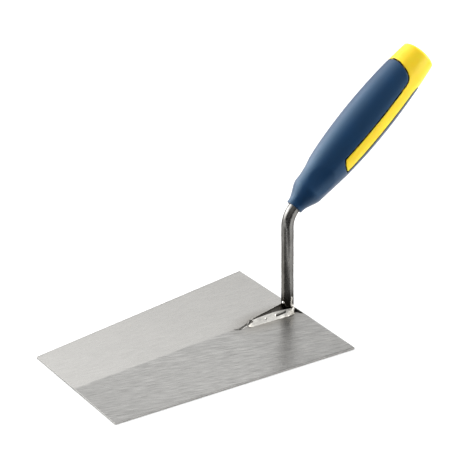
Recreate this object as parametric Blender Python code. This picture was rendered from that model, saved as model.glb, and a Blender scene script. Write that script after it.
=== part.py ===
"""Trapezoid trowel: a ground steel blade, a forged shank welded to it and a two-material handle.

Metres, +Z up. The origin is the middle of the blade's flat sole. The toe points to -X, and the
shank and the handle rise towards +X in the plane y = 0.
"""

import math

import bmesh
import bpy
from mathutils import Matrix, Vector

MM = 0.001

# Fit between two pieces that seat on each other
FIT_GAP = 0.3 * MM

# Blade
BLADE_LENGTH = 180.0 * MM
HEEL_WIDTH = 132.5 * MM
TOE_WIDTH = 98.5 * MM
HEEL_THICKNESS = 1.7 * MM  # on the centre line
TOE_THICKNESS = 1.3 * MM  # on the centre line
CROWN_FALL = 0.5 * MM  # from the centre line out to the heel's corners
BLADE_CORNER_RADIUS = 0.6 * MM
CENTRE_WELD = 0.01 * MM  # points this close to the centre line are joined by the mirror

# Shank: foot, neck, bend and tang
NECK_DIAMETER = 8.5 * MM
NECK_BASE_DIAMETER = 8.9 * MM
NECK_FLARE_HEIGHT = 26.0 * MM
NECK_SETBACK = 6.7 * MM  # heel edge to the neck's axis, at the sole
NECK_LEAN = math.radians(1.0)  # towards the toe
NECK_HEIGHT = 67.3 * MM  # sole to the start of the bend
BEND_RADIUS = 17.6 * MM
HANDLE_TILT = math.radians(39.1)  # handle above the blade's plane
TANG_LENGTH = 85.0 * MM  # from the end of the bend
TANG_ROOT_LENGTH = 8.0 * MM  # round stretch before the square taper
TANG_SHOULDER_LENGTH = 5.0 * MM  # from round to square
TANG_ROOT_WIDTH = 6.0 * MM
TANG_TIP_WIDTH = 4.0 * MM
FOOT_LENGTH = 32.3 * MM  # neck's axis to the blunt tip
FOOT_TIP_WIDTH = 2.8 * MM
FOOT_TIP_HEIGHT = 1.8 * MM
FOOT_TIP_ROUND = 1.2 * MM
FOOT_ROOT_HEIGHT = 4.0 * MM  # at the neck's front
FOOT_FILLET = 1.2 * MM
PAD_OVERLAP = 0.2 * MM  # the foot's round end stands out this far round the neck
PAD_HEIGHT = 2.6 * MM
FOOT_EDGE_SHARE = 0.35  # rounded upper edge, as a share of the foot's section
FOOT_EDGE_BULGE = 0.3  # middle of that edge, as a share of it
ROUND_BAR = 2.0  # exponent of a round section
SQUARE_BAR = 7.0  # exponent of a square section with eased corners

# Weld beads
BEAD_EDGE = 0.35 * MM  # thickness where a bead runs out on the blade
LEFT_BEAD_REACH = 4.0 * MM  # ground bead, from the foot out over the blade
RIGHT_BEAD_REACH = 2.4 * MM
LEFT_BEAD_LEAD = 2.6 * MM  # ahead of the foot's tip
RIGHT_BEAD_LEAD = 0.2 * MM
LEFT_BEAD_STEP = 0.1 * MM  # foot's top above the bead
RIGHT_BEAD_STEP = 0.6 * MM
BEAD_ROUND_LENGTH = 6.0 * MM  # side bead, length over which its front end widens
BEAD_REAR = 2.8 * MM  # side bead, past the neck's axis
BEAD_FRONT_SHARE = 0.5  # side bead's reach and height at its front end
BEAD_HOLLOW = 0.55  # height half way out, as a share of the bead's height
TAIL_LENGTH = 13.5 * MM
TAIL_TIP_WIDTH = 0.9 * MM
TAIL_HEIGHT = 1.0 * MM  # at the foot's tip
TAIL_DRIFT = 1.7 * MM  # the run-out bows off the centre line, to -Y
TAIL_FLAT = 0.5  # width of the run-out's flat top, as a share of its width
TAIL_EDGE = 0.3  # height of the run-out's sides, as a share of its height
HEEL_BEAD_SPAN = 20.0 * MM
HEEL_BEAD_HEIGHT = 3.0 * MM
HEEL_BEAD_MARGIN = 0.8 * MM  # bare strip left along the heel edge

# Handle outline, from the nose to the butt
NOSE_DIAMETER = 11.6 * MM
NOSE_LIP = 1.0 * MM
NOSE_EDGE_ROUND = 0.4 * MM
NOSE_COVER = 1.3 * MM  # the nose hides this much of the bend
FLARE_LENGTH = 15.4 * MM
SHOULDER_DIAMETER = 21.8 * MM
WAIST_LENGTH = 22.5 * MM
SWELL_DIAMETER = 28.1 * MM  # where the belly starts
SWELL_LENGTH = 39.0 * MM
BELLY_DIAMETER = 31.7 * MM
TAIL_TAPER_LENGTH = 57.8 * MM
RIM_DIAMETER = 24.4 * MM
DOME_HEIGHT = 3.6 * MM

# Handle core and the windows of the grip that show it
GRIP_WALL = 2.6 * MM
CORE_SETBACK = 10.0 * MM  # nose to the front of the core
BUTT_LENGTH = 17.2 * MM
BUTT_ROOT = 2.0 * MM  # the spindle runs this far into the butt
WINDOW_SETBACK = 2.6 * MM  # from the start of the belly
WINDOW_FRONT_RADIUS = 12.5 * MM
WINDOW_RISE = 3.95 * MM  # upper edge over the handle's axis
WINDOW_DROP = 5.3 * MM  # lower edge under it
TONGUE_RADIUS = 8.0 * MM
TONGUE_SLANT = 30.0  # degrees by which the tongues' ends lean from square

# Thumb hollows
THUMB_LENGTH = 22.0 * MM
THUMB_DEPTH = 1.4 * MM
THUMB_SWEEP = 5.0 * MM  # half height of the ellipsoid that hollows it out
THUMB_BREADTH = 30.0 * MM
THUMB_SETBACK = 8.5 * MM  # from the shoulder
THUMB_ANGLE = math.radians(72.0)  # round from the top of the handle

# Facets
NECK_SIDES = 24
BEND_STEPS = 8
HANDLE_SIDES = 48
FLARE_STEPS = 7
WAIST_STEPS = 3
SWELL_STEPS = 6
TAPER_STEPS = 8
CORNER_STEPS = 5
BEAD_FACETS = 4
THUMB_SEGMENTS = 32
THUMB_RINGS = 20
PAD_TURNS = (30.0, 50.0, 68.0, 82.0)  # degrees round the foot's round end
DOME_TURNS = (22.0, 44.0, 64.0, 80.0)  # degrees up the domed butt
SHARP_ANGLE = math.radians(35.0)

# Places that follow from the sizes
HEEL_X = BLADE_LENGTH / 2
NECK_X = HEEL_X - NECK_SETBACK
FOOT_TIP_X = NECK_X - FOOT_LENGTH
NECK_FRONT_X = NECK_X - NECK_BASE_DIAMETER / 2
PAD_RADIUS = NECK_BASE_DIAMETER / 2 + PAD_OVERLAP
BEND_ANGLE = math.pi / 2 - HANDLE_TILT
HANDLE_AXIS = Vector((math.cos(HANDLE_TILT), 0.0, math.sin(HANDLE_TILT)))
BEND_START = Vector((NECK_X - NECK_HEIGHT * math.tan(NECK_LEAN), 0.0, NECK_HEIGHT))
BEND_END = BEND_START + BEND_RADIUS * Vector(
    (math.cos(NECK_LEAN) - math.cos(BEND_ANGLE), 0.0, math.sin(NECK_LEAN) + math.sin(BEND_ANGLE))
)
NOSE_POINT = BEND_END - HANDLE_AXIS * NOSE_COVER
SHOULDER_AT = NOSE_LIP + FLARE_LENGTH
SWELL_AT = SHOULDER_AT + WAIST_LENGTH
BELLY_AT = SWELL_AT + SWELL_LENGTH
RIM_AT = BELLY_AT + TAIL_TAPER_LENGTH
HANDLE_LENGTH = RIM_AT + DOME_HEIGHT
TONGUE_AT = HANDLE_LENGTH - BUTT_LENGTH


def mix(start, end, share):
    return start + (end - start) * share


def spaced(start, end, steps):
    """Evenly spaced values after the start, up to and with the end."""
    return [mix(start, end, k / steps) for k in range(1, steps + 1)]


def arc(centre, radius, first, last):
    """Points of an arc in a plane, from one angle in degrees to another."""
    angles = [math.radians(first)] + spaced(math.radians(first), math.radians(last), CORNER_STEPS)
    return [(centre[0] + radius * math.cos(a), centre[1] + radius * math.sin(a)) for a in angles]


# Scene helpers


def clear_scene():
    for old in list(bpy.data.objects):
        bpy.data.objects.remove(old, do_unlink=True)


def add_object(name, bm):
    """Puts a bmesh into the scene as a smooth-shaded object."""
    bmesh.ops.recalc_face_normals(bm, faces=bm.faces)
    mesh = bpy.data.meshes.new(name)
    bm.to_mesh(mesh)
    bm.free()
    mesh.shade_smooth()
    mesh.set_sharp_from_angle(angle=SHARP_ANGLE)
    made = bpy.data.objects.new(name, mesh)
    bpy.context.scene.collection.objects.link(made)
    return made


def loft(name, rings):
    """Closed solid skinned over rings that have the same number of points."""
    bm = bmesh.new()
    loops = [[bm.verts.new(point) for point in ring] for ring in rings]
    for near, far in zip(loops, loops[1:]):
        for i, corner in enumerate(near):
            j = (i + 1) % len(near)
            bm.faces.new((corner, near[j], far[j], far[i]))
    bm.faces.new(loops[0])
    bm.faces.new(loops[-1])
    return add_object(name, bm)


def as_tool(made):
    """Marks a solid that only cuts or adds to another one."""
    made.hide_render = True
    made.display_type = "WIRE"
    return made


def combine(target, operation, tool):
    step = target.modifiers.new(tool.name, "BOOLEAN")
    step.operation = operation
    step.solver = "EXACT"
    step.object = tool


def dress(made, material):
    made.data.materials.clear()
    made.data.materials.append(material)
    return made


def finish(name, colour, roughness, metallic):
    material = bpy.data.materials.new(name)
    material.use_nodes = True
    shader = material.node_tree.nodes["Principled BSDF"]
    shader.inputs["Base Color"].default_value = (*colour, 1.0)
    shader.inputs["Roughness"].default_value = roughness
    shader.inputs["Metallic"].default_value = metallic
    return material


# Blade


def blade_top(x, y):
    """Height of the ground upper faces, which fall away on both sides of the centre line."""
    centre = mix(TOE_THICKNESS, HEEL_THICKNESS, (x + HEEL_X) / BLADE_LENGTH)
    return centre - CROWN_FALL * abs(y) / (HEEL_WIDTH / 2)


def half_outline():
    """Blade's outline on the -Y side, from the middle of the toe to the middle of the heel."""
    toe = Vector((-HEEL_X, -TOE_WIDTH / 2))
    heel = Vector((HEEL_X, -HEEL_WIDTH / 2))
    lean = math.degrees(math.atan2(toe.y - heel.y, BLADE_LENGTH))
    points = [(-HEEL_X, 0.0)]
    for corner, first, last in ((toe, 180.0, 270.0 - lean), (heel, 270.0 - lean, 360.0)):
        half = math.radians((last - first) / 2)
        middle = math.radians((first + last) / 2)
        reach = BLADE_CORNER_RADIUS / math.cos(half)
        centre = (corner.x - reach * math.cos(middle), corner.y - reach * math.sin(middle))
        points += arc(centre, BLADE_CORNER_RADIUS, first, last)
    points.append((HEEL_X, 0.0))
    return points


def make_blade(steel):
    """Half the plate, open along the centre line, where a mirror joins the other half to it."""
    bm = bmesh.new()
    outline = half_outline()
    sole = [bm.verts.new((x, y, 0.0)) for x, y in outline]
    top = [bm.verts.new((x, y, blade_top(x, y))) for x, y in outline]
    bm.faces.new(sole)
    bm.faces.new(top)
    for i in range(len(outline) - 1):
        bm.faces.new((sole[i], sole[i + 1], top[i + 1], top[i]))
    bmesh.ops.recalc_face_normals(bm, faces=bm.faces)
    if sum(face.normal.z for face in top[1].link_faces) < 0:
        bmesh.ops.reverse_faces(bm, faces=bm.faces)
    mesh = bpy.data.meshes.new("blade")
    bm.to_mesh(mesh)
    bm.free()
    blade = bpy.data.objects.new("blade", mesh)
    bpy.context.scene.collection.objects.link(blade)
    mirror = blade.modifiers.new("other half", "MIRROR")
    mirror.use_axis = (False, True, False)
    mirror.merge_threshold = CENTRE_WELD
    return dress(blade, steel)


# Shank


def bar_ring(centre, lean, half_width, squareness):
    """Ring square to a line that leans back from upright; a higher squareness sharpens its corners."""
    across = Vector((0.0, 1.0, 0.0))
    out = Vector((math.cos(lean), 0.0, -math.sin(lean)))
    ring = []
    for k in range(NECK_SIDES):
        turn = 2 * math.pi * k / NECK_SIDES
        c = math.cos(turn)
        s = math.sin(turn)
        reach = half_width / (abs(c) ** squareness + abs(s) ** squareness) ** (1 / squareness)
        ring.append(centre + across * (reach * c) + out * (reach * s))
    return ring


def bar_rings(grow):
    """Rings up the neck, round the bend and along the tang, made wider for the hole they fill."""
    neck_half = NECK_DIAMETER / 2 + grow
    neck = (
        (foot_seat(NECK_X) + PAD_HEIGHT / 2, NECK_BASE_DIAMETER / 2 + grow),
        (NECK_FLARE_HEIGHT, neck_half),
        (NECK_HEIGHT, neck_half),
    )
    rings = []
    for height, half_width in neck:
        centre = Vector((NECK_X - height * math.tan(NECK_LEAN), 0.0, height))
        rings.append(bar_ring(centre, -NECK_LEAN, half_width, ROUND_BAR))
    for lean in spaced(-NECK_LEAN, BEND_ANGLE, BEND_STEPS):
        turned = Vector((math.cos(NECK_LEAN) - math.cos(lean), 0.0, math.sin(NECK_LEAN) + math.sin(lean)))
        rings.append(bar_ring(BEND_START + BEND_RADIUS * turned, lean, neck_half, ROUND_BAR))
    tang = (
        (TANG_ROOT_LENGTH, NECK_DIAMETER, ROUND_BAR),
        (TANG_ROOT_LENGTH + TANG_SHOULDER_LENGTH, TANG_ROOT_WIDTH, SQUARE_BAR),
        (TANG_LENGTH + grow, TANG_TIP_WIDTH, SQUARE_BAR),
    )
    for distance, width, squareness in tang:
        centre = BEND_END + HANDLE_AXIS * distance
        rings.append(bar_ring(centre, BEND_ANGLE, width / 2 + grow, squareness))
    return rings


def foot_seat(x):
    """Height of the foot's flat underside, which rests along the blade's centre line."""
    return blade_top(x, 0.0) + FIT_GAP


def foot_half_width(x):
    """Half the foot's width, from its tip to the round pad behind the neck's axis."""
    if x > NECK_X:
        return math.sqrt(PAD_RADIUS**2 - (x - NECK_X) ** 2)
    return mix(FOOT_TIP_WIDTH / 2, PAD_RADIUS, (x - FOOT_TIP_X) / FOOT_LENGTH)


def foot_height(x):
    """Height of the foot's sloping top over its seat, between its tip and the neck's front."""
    share = (x - FOOT_TIP_X) / (NECK_FRONT_X - FOOT_TIP_X)
    return mix(FOOT_TIP_HEIGHT, FOOT_ROOT_HEIGHT, share)


def foot_ring(x, half_width, height):
    """Cross-section of the foot, flat below and rounded along its upper edges."""
    ease = FOOT_EDGE_SHARE * min(half_width, height)
    soft = FOOT_EDGE_BULGE * ease
    side = (
        (half_width, 0.0),
        (half_width, height - ease),
        (half_width - soft, height - soft),
        (half_width - ease, height),
    )
    section = list(side) + [(-y, z) for y, z in reversed(side)]
    return [Vector((x, y, foot_seat(x) + z)) for y, z in section]


def make_foot():
    """Wedge from its blunt tip up to the neck, then round behind the neck as a low pad."""
    blunt_x = FOOT_TIP_X + FOOT_TIP_ROUND
    fillet_x = NECK_FRONT_X - FOOT_FILLET
    rings = [
        foot_ring(FOOT_TIP_X, foot_half_width(FOOT_TIP_X) / 2, foot_height(FOOT_TIP_X) / 2),
        foot_ring(blunt_x, foot_half_width(blunt_x), foot_height(blunt_x)),
        foot_ring(fillet_x, foot_half_width(fillet_x), foot_height(fillet_x)),
        foot_ring(NECK_FRONT_X, foot_half_width(NECK_FRONT_X), FOOT_ROOT_HEIGHT + FOOT_FILLET),
        foot_ring(NECK_X, PAD_RADIUS, PAD_HEIGHT),
    ]
    for turn in PAD_TURNS:
        x = NECK_X + PAD_RADIUS * math.sin(math.radians(turn))
        rings.append(foot_ring(x, foot_half_width(x), PAD_HEIGHT))
    return as_tool(loft("foot wedge", rings))


def make_shank(scale):
    shank = loft("shank", bar_rings(0.0))
    combine(shank, "UNION", make_foot())
    return dress(shank, scale)


# Weld beads


def bead_point(x, y, height):
    """Point over the blade's upper face."""
    return Vector((x, y, blade_top(x, y) + FIT_GAP + height))


def make_side_bead(name, side, full_reach, lead, step, metal):
    """Fillet between one side of the foot and the blade; side is -1 or +1 along Y."""
    front_x = FOOT_TIP_X - lead
    places = [front_x] + spaced(front_x, front_x + BEAD_ROUND_LENGTH, BEAD_FACETS)
    places += spaced(front_x + BEAD_ROUND_LENGTH, NECK_FRONT_X, BEAD_FACETS)
    places += spaced(NECK_FRONT_X, NECK_X + BEAD_REAR, BEAD_FACETS)
    rings = []
    for x in places:
        on_foot = max(x, FOOT_TIP_X)
        inner = foot_half_width(on_foot) + FIT_GAP
        widened = min(1.0, (x - front_x) / BEAD_ROUND_LENGTH)
        grown = mix(BEAD_FRONT_SHARE, 1.0, math.sin(widened * math.pi / 2))
        reach = full_reach * grown
        height = max(foot_height(min(on_foot, NECK_FRONT_X)) * grown - step, BEAD_EDGE)
        hollow = mix(BEAD_EDGE, height, BEAD_HOLLOW)
        section = (
            (inner, 0.0),
            (inner, height + BEAD_EDGE / 2),
            (inner + reach / 2, hollow),
            (inner + reach, BEAD_EDGE),
            (inner + reach, 0.0),
        )
        rings.append([bead_point(x, side * y, z) for y, z in section])
    return dress(loft(name, rings), metal)


def make_tip_bead(scale):
    """Thin run-out in front of the foot's tip."""
    half_section = ((TAIL_FLAT, 1.0), (1.0, TAIL_EDGE), (1.0, 0.0))
    section = [(-y, z) for y, z in reversed(half_section)] + list(half_section)
    rings = []
    for share in [0.0] + spaced(0.0, 1.0, BEAD_FACETS):
        x = FOOT_TIP_X - FIT_GAP - TAIL_LENGTH * share
        middle = -TAIL_DRIFT * math.sin(share * share * math.pi)
        half_width = mix(FOOT_TIP_WIDTH, TAIL_TIP_WIDTH, share) / 2
        height = mix(TAIL_HEIGHT, BEAD_EDGE, share)
        rings.append([bead_point(x, middle + half_width * y, height * z) for y, z in section])
    return dress(loft("weld_tip", rings), scale)


def make_heel_bead(scale):
    """Bead behind the neck that thins out to both sides along the heel edge."""
    pad = PAD_RADIUS + FIT_GAP
    half_span = HEEL_BEAD_SPAN / 2
    rear_x = HEEL_X - HEEL_BEAD_MARGIN
    tip_x = rear_x - HEEL_BEAD_MARGIN
    front_x = NECK_X + BEAD_REAR + FIT_GAP
    wrap = math.acos((front_x - NECK_X) / pad)
    half = [(pad * math.sin(a), NECK_X + pad * math.cos(a)) for a in spaced(0.0, wrap, BEAD_FACETS)]
    root = half[-1][0]
    wings = spaced(0.0, 1.0, BEAD_FACETS)
    half += [(mix(root, half_span, s), mix(front_x, tip_x, s)) for s in wings]
    edge = [(-y, x) for y, x in reversed(half)] + [(0.0, NECK_X + pad)] + half
    rings = []
    for y, edge_x in edge:
        height = mix(HEEL_BEAD_HEIGHT, BEAD_EDGE, abs(y) / half_span)
        middle_x = (edge_x + rear_x) / 2
        section = (
            (edge_x, 0.0),
            (edge_x, height + BEAD_EDGE),
            (middle_x, mix(BEAD_EDGE, height, BEAD_HOLLOW)),
            (rear_x, BEAD_EDGE),
            (rear_x, 0.0),
        )
        rings.append([bead_point(x, y, z) for x, z in section])
    return dress(loft("weld_heel", rings), scale)


# Handle, in its own frame: x from the nose along its axis, z towards its top


def handle_radius(u):
    """Outer radius at a distance from the nose, up to the rim of the domed butt."""
    nose = NOSE_DIAMETER / 2
    shoulder = SHOULDER_DIAMETER / 2
    swell = SWELL_DIAMETER / 2
    belly = BELLY_DIAMETER / 2
    if u <= SHOULDER_AT:
        share = max(0.0, (u - NOSE_LIP) / FLARE_LENGTH)
        return mix(nose, shoulder, share * share * (3 - 2 * share))
    if u <= SWELL_AT:
        return mix(shoulder, swell, (u - SHOULDER_AT) / WAIST_LENGTH)
    if u <= BELLY_AT:
        return mix(belly, swell, ((BELLY_AT - u) / SWELL_LENGTH) ** 2)
    return mix(belly, RIM_DIAMETER / 2, ((u - BELLY_AT) / TAIL_TAPER_LENGTH) ** 2)


def handle_stations():
    """Distances from the nose to the rim, closer together where the outline turns."""
    stations = [NOSE_EDGE_ROUND] + spaced(NOSE_LIP, SHOULDER_AT, FLARE_STEPS)
    stations += spaced(SHOULDER_AT, SWELL_AT, WAIST_STEPS)
    stations += spaced(SWELL_AT, BELLY_AT, SWELL_STEPS)
    return stations + spaced(BELLY_AT, RIM_AT, TAPER_STEPS)


def turned_ring(u, radius):
    turns = [2 * math.pi * k / HANDLE_SIDES for k in range(HANDLE_SIDES)]
    return [Vector((u, radius * math.sin(t), radius * math.cos(t))) for t in turns]


def outer_rings():
    """Whole outside of the handle, with its rounded nose edge and its domed butt."""
    rings = [turned_ring(0.0, NOSE_DIAMETER / 2 - NOSE_EDGE_ROUND)]
    rings += [turned_ring(u, handle_radius(u)) for u in handle_stations()]
    for turn in DOME_TURNS:
        rise = DOME_HEIGHT * math.sin(math.radians(turn))
        rings.append(turned_ring(RIM_AT + rise, RIM_DIAMETER / 2 * math.cos(math.radians(turn))))
    return rings


def spindle_rings(grow):
    """Inside of the soft grip, which is also the outside of the core under it."""
    first = CORE_SETBACK - grow
    last = TONGUE_AT + BUTT_ROOT
    stations = [first] + [u for u in handle_stations() if first < u < last] + [last]
    return [turned_ring(u, handle_radius(u) - GRIP_WALL + grow) for u in stations]


def tongue_end(edge, grow):
    """Side view of a tongue's end: its corner, which starts on the window's edge, and its slant."""
    slant = math.radians(TONGUE_SLANT)
    corner_top = edge + TONGUE_RADIUS * (1 - math.sin(slant))
    run = (handle_radius(TONGUE_AT) - corner_top) * math.tan(slant)
    centre = (TONGUE_AT - run - TONGUE_RADIUS * math.cos(slant), edge + TONGUE_RADIUS)
    outline = arc(centre, TONGUE_RADIUS - grow, -90.0, -TONGUE_SLANT)
    u, height = outline[-1]
    return outline + [(u + (BELLY_DIAMETER - height) * math.tan(slant), BELLY_DIAMETER)]


def window_outline(grow):
    """Side view of what shows hard plastic: a strip along the side that opens into the butt."""
    radius = WINDOW_FRONT_RADIUS + grow
    centre = (SWELL_AT + WINDOW_SETBACK + WINDOW_FRONT_RADIUS, -WINDOW_DROP)
    below = math.degrees(math.asin(grow / radius))
    above = math.degrees(math.asin((WINDOW_DROP + WINDOW_RISE + grow) / radius))
    outline = arc(centre, radius, 180.0 + below, 180.0 - above)
    outline += tongue_end(WINDOW_RISE, grow)
    beyond = HANDLE_LENGTH + BELLY_DIAMETER
    outline += [(beyond, BELLY_DIAMETER), (beyond, -BELLY_DIAMETER)]
    return outline + [(u, -height) for u, height in reversed(tongue_end(WINDOW_DROP, grow))]


def window_tool(name, grow):
    """The window's outline drawn right across the handle."""
    outline = window_outline(grow)
    rings = [[Vector((u, y, h)) for u, h in outline] for y in (-BELLY_DIAMETER, BELLY_DIAMETER)]
    return as_tool(loft(name, rings))


def thumb_tool(name, side):
    """Flat ellipsoid that hollows out one side of the waist; side is -1 or +1 along Y."""
    slope = math.atan2((SWELL_DIAMETER - SHOULDER_DIAMETER) / 2, WAIST_LENGTH)
    at = SHOULDER_AT + THUMB_SETBACK
    lift = handle_radius(at) - THUMB_DEPTH + THUMB_SWEEP
    half_chord = math.sqrt(1 - (1 - THUMB_DEPTH / THUMB_SWEEP) ** 2)
    size = Matrix.Diagonal((THUMB_LENGTH / 2 / half_chord, THUMB_BREADTH / 2, THUMB_SWEEP, 1.0))
    place = Matrix.Translation((at, 0.0, 0.0)) @ Matrix.Rotation(side * -THUMB_ANGLE, 4, "X")
    place = place @ Matrix.Translation((0.0, 0.0, lift)) @ Matrix.Rotation(-slope, 4, "Y")
    bm = bmesh.new()
    bmesh.ops.create_uvsphere(bm, u_segments=THUMB_SEGMENTS, v_segments=THUMB_RINGS, radius=1.0)
    bm.transform(place @ size)
    return as_tool(add_object(name, bm))


def make_handle(hard, soft):
    axis = bpy.data.objects.new("handle axis", None)
    axis.location = NOSE_POINT
    axis.rotation_euler = (0.0, -HANDLE_TILT, 0.0)
    bpy.context.scene.collection.objects.link(axis)
    tang_hole = as_tool(loft("tang hole", bar_rings(FIT_GAP)))

    core = loft("handle_core", outer_rings())
    spindle = as_tool(loft("spindle", spindle_rings(0.0)))
    rails = window_tool("rails and butt", 0.0)
    combine(core, "INTERSECT", rails)
    combine(core, "UNION", spindle)
    combine(core, "DIFFERENCE", tang_hole)

    grip = loft("handle_grip", outer_rings())
    core_space = as_tool(loft("core space", spindle_rings(FIT_GAP)))
    windows = window_tool("windows", FIT_GAP)
    thumbs = [thumb_tool("left thumb", -1), thumb_tool("right thumb", 1)]
    for tool in (windows, core_space, tang_hole, *thumbs):
        combine(grip, "DIFFERENCE", tool)

    for child in (core, spindle, rails, grip, core_space, windows, *thumbs):
        child.parent = axis
    dress(core, hard)
    dress(grip, soft)


def main():
    clear_scene()
    ground_steel = finish("ground steel", (0.60, 0.59, 0.57), 0.34, 1.0)
    forge_scale = finish("forge scale", (0.16, 0.15, 0.145), 0.42, 1.0)
    bright_weld = finish("bright weld", (0.72, 0.70, 0.67), 0.28, 1.0)
    hard_yellow = finish("hard yellow plastic", (0.93, 0.72, 0.06), 0.42, 0.0)
    soft_blue = finish("soft blue plastic", (0.022, 0.056, 0.115), 0.52, 0.0)
    make_blade(ground_steel)
    make_shank(forge_scale)
    make_side_bead("weld_left", -1, LEFT_BEAD_REACH, LEFT_BEAD_LEAD, LEFT_BEAD_STEP, bright_weld)
    make_side_bead("weld_right", 1, RIGHT_BEAD_REACH, RIGHT_BEAD_LEAD, RIGHT_BEAD_STEP, bright_weld)
    make_tip_bead(forge_scale)
    make_heel_bead(forge_scale)
    make_handle(hard_yellow, soft_blue)


main()
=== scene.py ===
"""Looks of the trapezoid trowel, laid out as an add-on: finished shapes, materials and the studio.

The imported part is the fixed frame. Lengths are metres. The toe of the blade points to -X, the handle
rises towards +X in the plane y = 0, and the sole of the blade lies at z = 0.
"""

import math

import bmesh
import bpy
from mathutils import Euler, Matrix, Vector, noise


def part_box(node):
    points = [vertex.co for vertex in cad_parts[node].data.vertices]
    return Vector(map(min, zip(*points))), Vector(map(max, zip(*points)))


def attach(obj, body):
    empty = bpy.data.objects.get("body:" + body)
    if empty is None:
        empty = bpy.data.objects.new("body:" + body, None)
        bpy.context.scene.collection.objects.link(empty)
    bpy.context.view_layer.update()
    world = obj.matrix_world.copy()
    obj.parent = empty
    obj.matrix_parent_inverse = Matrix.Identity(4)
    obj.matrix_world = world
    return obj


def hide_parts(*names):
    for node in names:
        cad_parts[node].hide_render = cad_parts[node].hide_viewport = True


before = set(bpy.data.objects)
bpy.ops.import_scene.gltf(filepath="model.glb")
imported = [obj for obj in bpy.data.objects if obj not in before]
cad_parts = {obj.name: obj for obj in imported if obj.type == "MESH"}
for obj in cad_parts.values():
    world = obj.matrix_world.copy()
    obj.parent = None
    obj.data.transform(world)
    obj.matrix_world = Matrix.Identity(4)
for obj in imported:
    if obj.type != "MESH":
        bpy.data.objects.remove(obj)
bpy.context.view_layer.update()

bl_info = {
    "name": "Trapezoid trowel looks",
    "version": (1, 0, 0),
    "blender": (4, 5, 0),
    "location": "3D View > Sidebar > Trowel",
    "description": "Models the visible pieces of a trapezoid trowel and the studio they stand in",
    "category": "Object",
}

MM = 0.001
BLADE_LOW, BLADE_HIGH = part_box("blade")
HEEL_BEAD_LOW, HEEL_BEAD_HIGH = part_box("weld_heel")
FULL_TURN = 2 * math.pi


# Settings


def length(name, description, metres):
    """A size that the user may change, in scene units."""
    return bpy.props.FloatProperty(
        name=name, description=description, default=metres, precision=5, unit="LENGTH", subtype="DISTANCE"
    )


def angle(name, description, degrees):
    return bpy.props.FloatProperty(
        name=name, description=description, default=math.radians(degrees), unit="ROTATION", subtype="ANGLE"
    )


def share(name, description, value):
    return bpy.props.FloatProperty(
        name=name, description=description, default=value, min=0.0, max=1.0, subtype="FACTOR"
    )


def level(name, description, value):
    return bpy.props.FloatProperty(name=name, description=description, default=value, min=0.0)


def colour(name, description, rgb):
    return bpy.props.FloatVectorProperty(
        name=name, description=description, default=rgb, size=3, min=0.0, max=1.0, subtype="COLOR"
    )


class BladeSettings(bpy.types.PropertyGroup):
    """Sizes and finish of the ground plate."""

    plate_length: length("Length", "Toe to heel", BLADE_HIGH.x - BLADE_LOW.x)
    heel_width: length("Heel width", "Width at the shank", 132.5 * MM)
    toe_width: length("Toe width", "Width at the front edge", 98.5 * MM)
    heel_thickness: length("Heel thickness", "On the centre line", 1.7 * MM)
    toe_thickness: length("Toe thickness", "On the centre line", 1.3 * MM)
    crown_fall: length("Crown fall", "Drop from the centre line to the heel's corners", 0.5 * MM)
    corner_radius: length("Corner radius", "Round of the four corners", 0.6 * MM)
    edge_round: length("Edge round", "Broken edge all round the plate", 0.15 * MM)
    # The rim band also carries painted shade: the ground faces darken along the plate's edges.
    rim_width: length("Rim width", "Band along the edges that dulls", 0.8 * MM)
    # The far face's paler tone is partly painted light, for the two faces catching the light differently on
    # either side of the crease, and partly their different grinding.
    near_colour: colour("Near face", "Ground face on the -Y side", (0.36, 0.356, 0.345))
    far_colour: colour("Far face", "Ground face on the +Y side", (0.475, 0.467, 0.449))
    edge_colour: colour("Edge", "Sheared edge and sole", (0.26, 0.256, 0.247))
    # This brown tint from the welding also paints shade beside the weld: the dark reflection of the weld
    # and neck on the near face, and the shank's shadow on the far face.
    tint_and_shade_colour: colour("Heat tint", "Brown tint that the welding leaves", (0.25, 0.234, 0.208))
    near_lay: angle("Near lay", "Direction of the grinding lines on the -Y face", -19.0)
    far_lay: angle("Far lay", "Direction of the grinding lines on the +Y face", -7.0)


class ShankSettings(bpy.types.PropertyGroup):
    """Sizes and finish of the forged bar and its foot."""

    neck_diameter: length("Neck diameter", "Round bar above the foot", 8.5 * MM)
    base_diameter: length("Base diameter", "Where the neck stands on the foot", 8.9 * MM)
    flare_height: length("Flare height", "Sole to where the base's flare ends", 26.0 * MM)
    neck_setback: length("Neck setback", "Heel edge to the neck's axis, at the sole", 6.7 * MM)
    neck_lean: angle("Neck lean", "Neck towards the toe", 1.0)
    neck_height: length("Neck height", "Sole to the start of the bend", 67.3 * MM)
    bend_radius: length("Bend radius", "On the bar's axis", 17.6 * MM)
    handle_tilt: angle("Handle tilt", "Handle above the plane of the blade", 39.1)
    tang_length: length("Hidden length", "Bar that runs on inside the handle", 14.0 * MM)
    foot_length: length("Foot length", "Neck's axis to the tip of the foot", 32.3 * MM)
    foot_tip_width: length("Foot tip width", "Width of the blunt tip", 2.8 * MM)
    foot_tip_height: length("Foot tip height", "Height of the blunt tip", 2.1 * MM)
    foot_root_width: length("Foot root width", "Width at the neck", 9.0 * MM)
    foot_root_height: length("Foot root height", "Height at the neck's axis", 4.45 * MM)
    foot_round: length("Foot round", "Round along the foot's upper edges", 0.6 * MM)
    unevenness: length("Unevenness", "Height of the hammered waves on the bar", 0.07 * MM)
    dark_colour: colour("Dark scale", "Forge scale in the hollows", (0.13, 0.126, 0.12))
    burnt_colour: colour("Burnt scale", "Foot and the neck's lower end", (0.022, 0.0195, 0.0165))
    pale_colour: colour("Pale scale", "Where the scale is rubbed thin", (0.25, 0.245, 0.235))


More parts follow.
